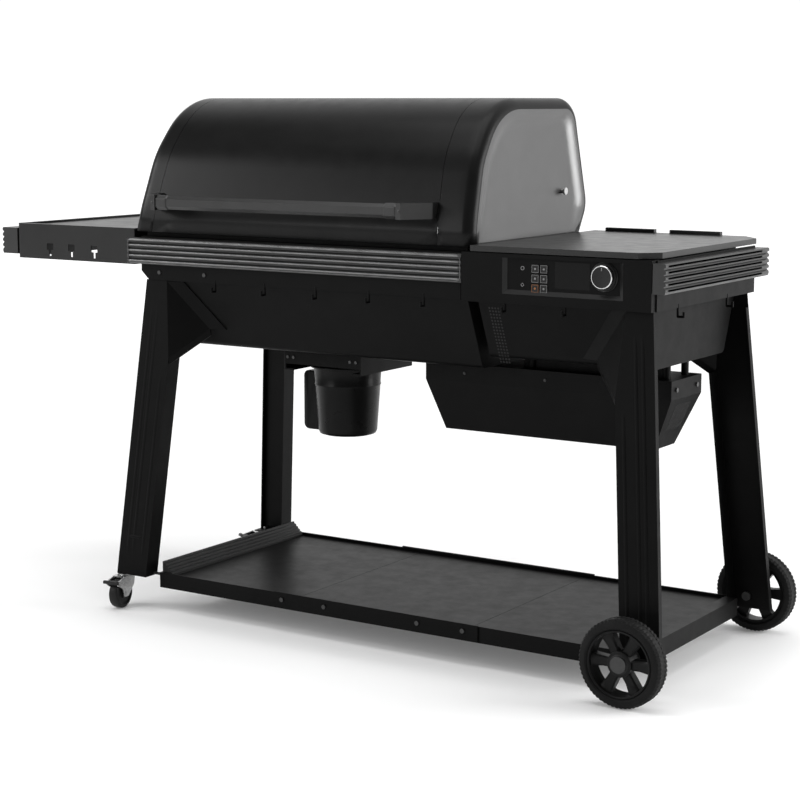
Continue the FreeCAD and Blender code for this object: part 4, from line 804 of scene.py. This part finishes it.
def rail_painted_highlights():
    """Painted highlight line of bright metal along each rib of the rails, inside a rounded rim of painted
    highlight at the ends of the front rail.
    """
    low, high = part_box("rail_front")
    pitch = (high.z - low.z) / rail_ribs
    parts = []
    for i in range(rail_ribs):
        z = high.z - (i + highlight_place) * pitch
        rows = []
        for x, thick in ((low.x + 0.006, 0.0004), (low.x + 0.010, 0.0022), (high.x - 0.010, 0.0022),
                         (high.x - 0.006, 0.0004)):
            rows.append([Vector((x, low.y + 0.0002 - 0.0010 * math.sin(a), z + thick * math.cos(a)))
                         for a in [math.pi * k / 6 for k in range(7)]])
        parts.append(([v for row in rows for v in row],
                      grid_faces(4, 7, close_columns=True) + [tuple(range(7)), tuple(range(21, 28))]))
    ring, rim = [], []
    inset_x, inset_z, corner = 0.003, 0.0025, 0.010
    for cx, cz, a0 in ((high.x - inset_x - corner, high.z - inset_z - corner, 0),
                       (low.x + inset_x + corner, high.z - inset_z - corner, 90),
                       (low.x + inset_x + corner, low.z + inset_z + corner, 180),
                       (high.x - inset_x - corner, low.z + inset_z + corner, 270)):
        for k in range(7):
            angle = math.radians(a0 + 15 * k)
            out = Vector((math.cos(angle), 0, math.sin(angle)))
            ring.append((Vector((cx, low.y, cz)) + out * corner, out))
    for spot, out in ring:
        rim.append([spot + out * 0.0011 * math.cos(a) + Vector((0, 0.0018 - 0.0022 * math.sin(a), 0))
                    for a in [math.pi * k / 5 for k in range(6)]])
    rim.append(rim[0])
    parts.append(([v for row in rim for v in row], grid_faces(len(rim), 6, close_columns=True)))
    piece("rail_painted_highlights", *merged(parts), painted_highlight_metal, "grill", "dark_trim", sharp=60.0)


def side_rail_painted_highlights():
    """Painted highlight lines along the outer face of the right rail, level with those on the front rail."""
    low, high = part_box("side_rails")
    _, front_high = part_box("rail_front")
    pitch = 0.060 / rail_ribs
    parts = []
    for i in range(rail_ribs):
        z = front_high.z - (i + highlight_place) * pitch
        parts.append(block((high.x - 0.0002, low.y + 0.012, z - 0.0020), (high.x, low.y + 0.48, z + 0.0020)))
    piece("side_rail_painted_highlights", *merged(parts), painted_highlight_metal, "grill", "dark_trim", smooth=False)


rail_painted_highlights()
side_rail_painted_highlights()

# ---------------------------------------------------------------- finishes of the CAD parts
# The side shelf and hopper lid take lighter copies of the black coat, painted reflections on their tops.
special = {"side_shelf": shelf_painted_reflection, "hopper_lid": hopper_lid_painted_reflection, "rim_front": rim_plastic,
           "rim_rear": rim_plastic, "fasteners": screw_black, "wheel_axles": screw_black,
           "tool_hooks": powder, "shelf_panels": shelf_floor_paint}
edge_width = {"leg_front_left": 0.0014, "leg_front_right": 0.0014, "leg_rear_left": 0.0014,
              "leg_rear_right": 0.0014, "rail_front": 0.0010, "side_rails": 0.0010, "side_shelf": 0.0020,
              "hopper_lid": 0.0015, "lid_handle": 0.0018, "control_housing": 0.0012,
              "shelf_panels": 0.0010, "power_inlet": 0.0006, "auger_screw": 0.0003, "upper_rack": 0.0,
              "cooking_grates": 0.0006, "tool_hooks": 0.0}
slot_of = {entry["node"]: entry["material_slot"] for entry in frame["record"]["subparts"]}
for node_name, obj in nodes.items():
    paint(obj, special.get(node_name, by_slot[slot_of[node_name]]))
    if not obj.hide_render:
        width = edge_width.get(node_name, 0.0008)
        if width:
            soften(obj, width)

# ---------------------------------------------------------------- floor, light and camera
floor_size = 400.0
near_reach, far_reach = 1.2, 7.0       # distances between which the floor grows lighter
near_glow, far_glow = 0.12, 0.75
floor_mesh = bpy.data.meshes.new("floor")
half_floor = floor_size / 2
floor_corners = [(x * half_floor, y * half_floor, 0) for x, y in ((-1, -1), (1, -1), (1, 1), (-1, 1))]
floor_mesh.from_pydata(floor_corners, [], [(0, 1, 2, 3)])
floor = bpy.data.objects.new("floor", floor_mesh)
bpy.context.scene.collection.objects.link(floor)
floor_paint = surface("floor_paper", grey(0.86), grey(0.90), (0.8, 0.9), grain=60.0,
                      grain_depth=0.00005, specular=0.1, mottle=0.4)
paint(floor, floor_paint)
floor_tree = floor_paint.node_tree
floor_shader = floor_tree.nodes["Principled BSDF"]
floor_coords = floor_tree.nodes.new("ShaderNodeTexCoord")
floor_reach = floor_tree.nodes.new("ShaderNodeVectorMath")
floor_reach.operation = "LENGTH"
floor_glow = floor_tree.nodes.new("ShaderNodeMapRange")
for socket, value in (("From Min", near_reach), ("From Max", far_reach),
                      ("To Min", near_glow), ("To Max", far_glow)):
    floor_glow.inputs[socket].default_value = value
floor_tree.links.new(floor_coords.outputs["Object"], floor_reach.inputs[0])
floor_tree.links.new(floor_reach.outputs["Value"], floor_glow.inputs["Value"])
floor_tree.links.new(floor_glow.outputs["Result"], floor_shader.inputs["Emission Strength"])
floor_shader.inputs["Emission Color"].default_value = (1.0, 1.0, 1.0, 1.0)

world = bpy.data.worlds.new("studio")
bpy.context.scene.world = world
world.use_nodes = True
sky = world.node_tree.nodes["Background"]
sky.inputs["Strength"].default_value = 1.0
sky_coords = world.node_tree.nodes.new("ShaderNodeTexCoord")
sky_split = world.node_tree.nodes.new("ShaderNodeSeparateXYZ")
sky_ramp = world.node_tree.nodes.new("ShaderNodeValToRGB")
sky_ramp.color_ramp.elements[0].position = 0.0
sky_ramp.color_ramp.elements[0].color = (0.14, 0.14, 0.14, 1.0)
sky_ramp.color_ramp.elements[1].position = 0.35
sky_ramp.color_ramp.elements[1].color = (1.05, 1.05, 1.05, 1.0)
world.node_tree.links.new(sky_coords.outputs["Generated"], sky_split.inputs["Vector"])
world.node_tree.links.new(sky_split.outputs["Y"], sky_ramp.inputs["Fac"])
world.node_tree.links.new(sky_ramp.outputs["Color"], sky.inputs["Color"])


def softbox(name, place, target, size, power):
    light = bpy.data.lights.new(name, "AREA")
    light.shape = "RECTANGLE"
    light.size, light.size_y = size
    light.energy = power
    obj = bpy.data.objects.new(name, light)
    obj.location = place
    obj.rotation_euler = (Vector(target) - Vector(place)).to_track_quat("-Z", "Y").to_euler()
    bpy.context.scene.collection.objects.link(obj)


softbox("top_box", (0.2, -0.6, 4.4), (0, 0, 0.9), (4.0, 2.4), 90.0)
softbox("side_box", (4.2, 1.8, 1.6), (0.4, 0.1, 0.9), (2.4, 2.4), 160.0)
softbox("left_box", (-3.6, -2.2, 2.6), (-0.4, 0, 1.0), (1.2, 1.2), 60.0)
softbox("front_box", (-2.5, -4.5, 2.4), (0, 0, 0.7), (2.0, 2.0), 60.0)

camera = bpy.data.cameras.new("camera")
camera.lens = 86.51
camera.sensor_width = 36.0
camera.clip_end = 100.0
camera_object = bpy.data.objects.new("camera", camera)
camera_object.location = (2.46525, -3.6525, 1.186)
camera_object.rotation_euler = (math.radians(90 - 8.849), 0, math.radians(33.012))
bpy.context.scene.collection.objects.link(camera_object)
bpy.context.scene.camera = camera_object
bpy.context.scene.view_settings.view_transform = "Standard"
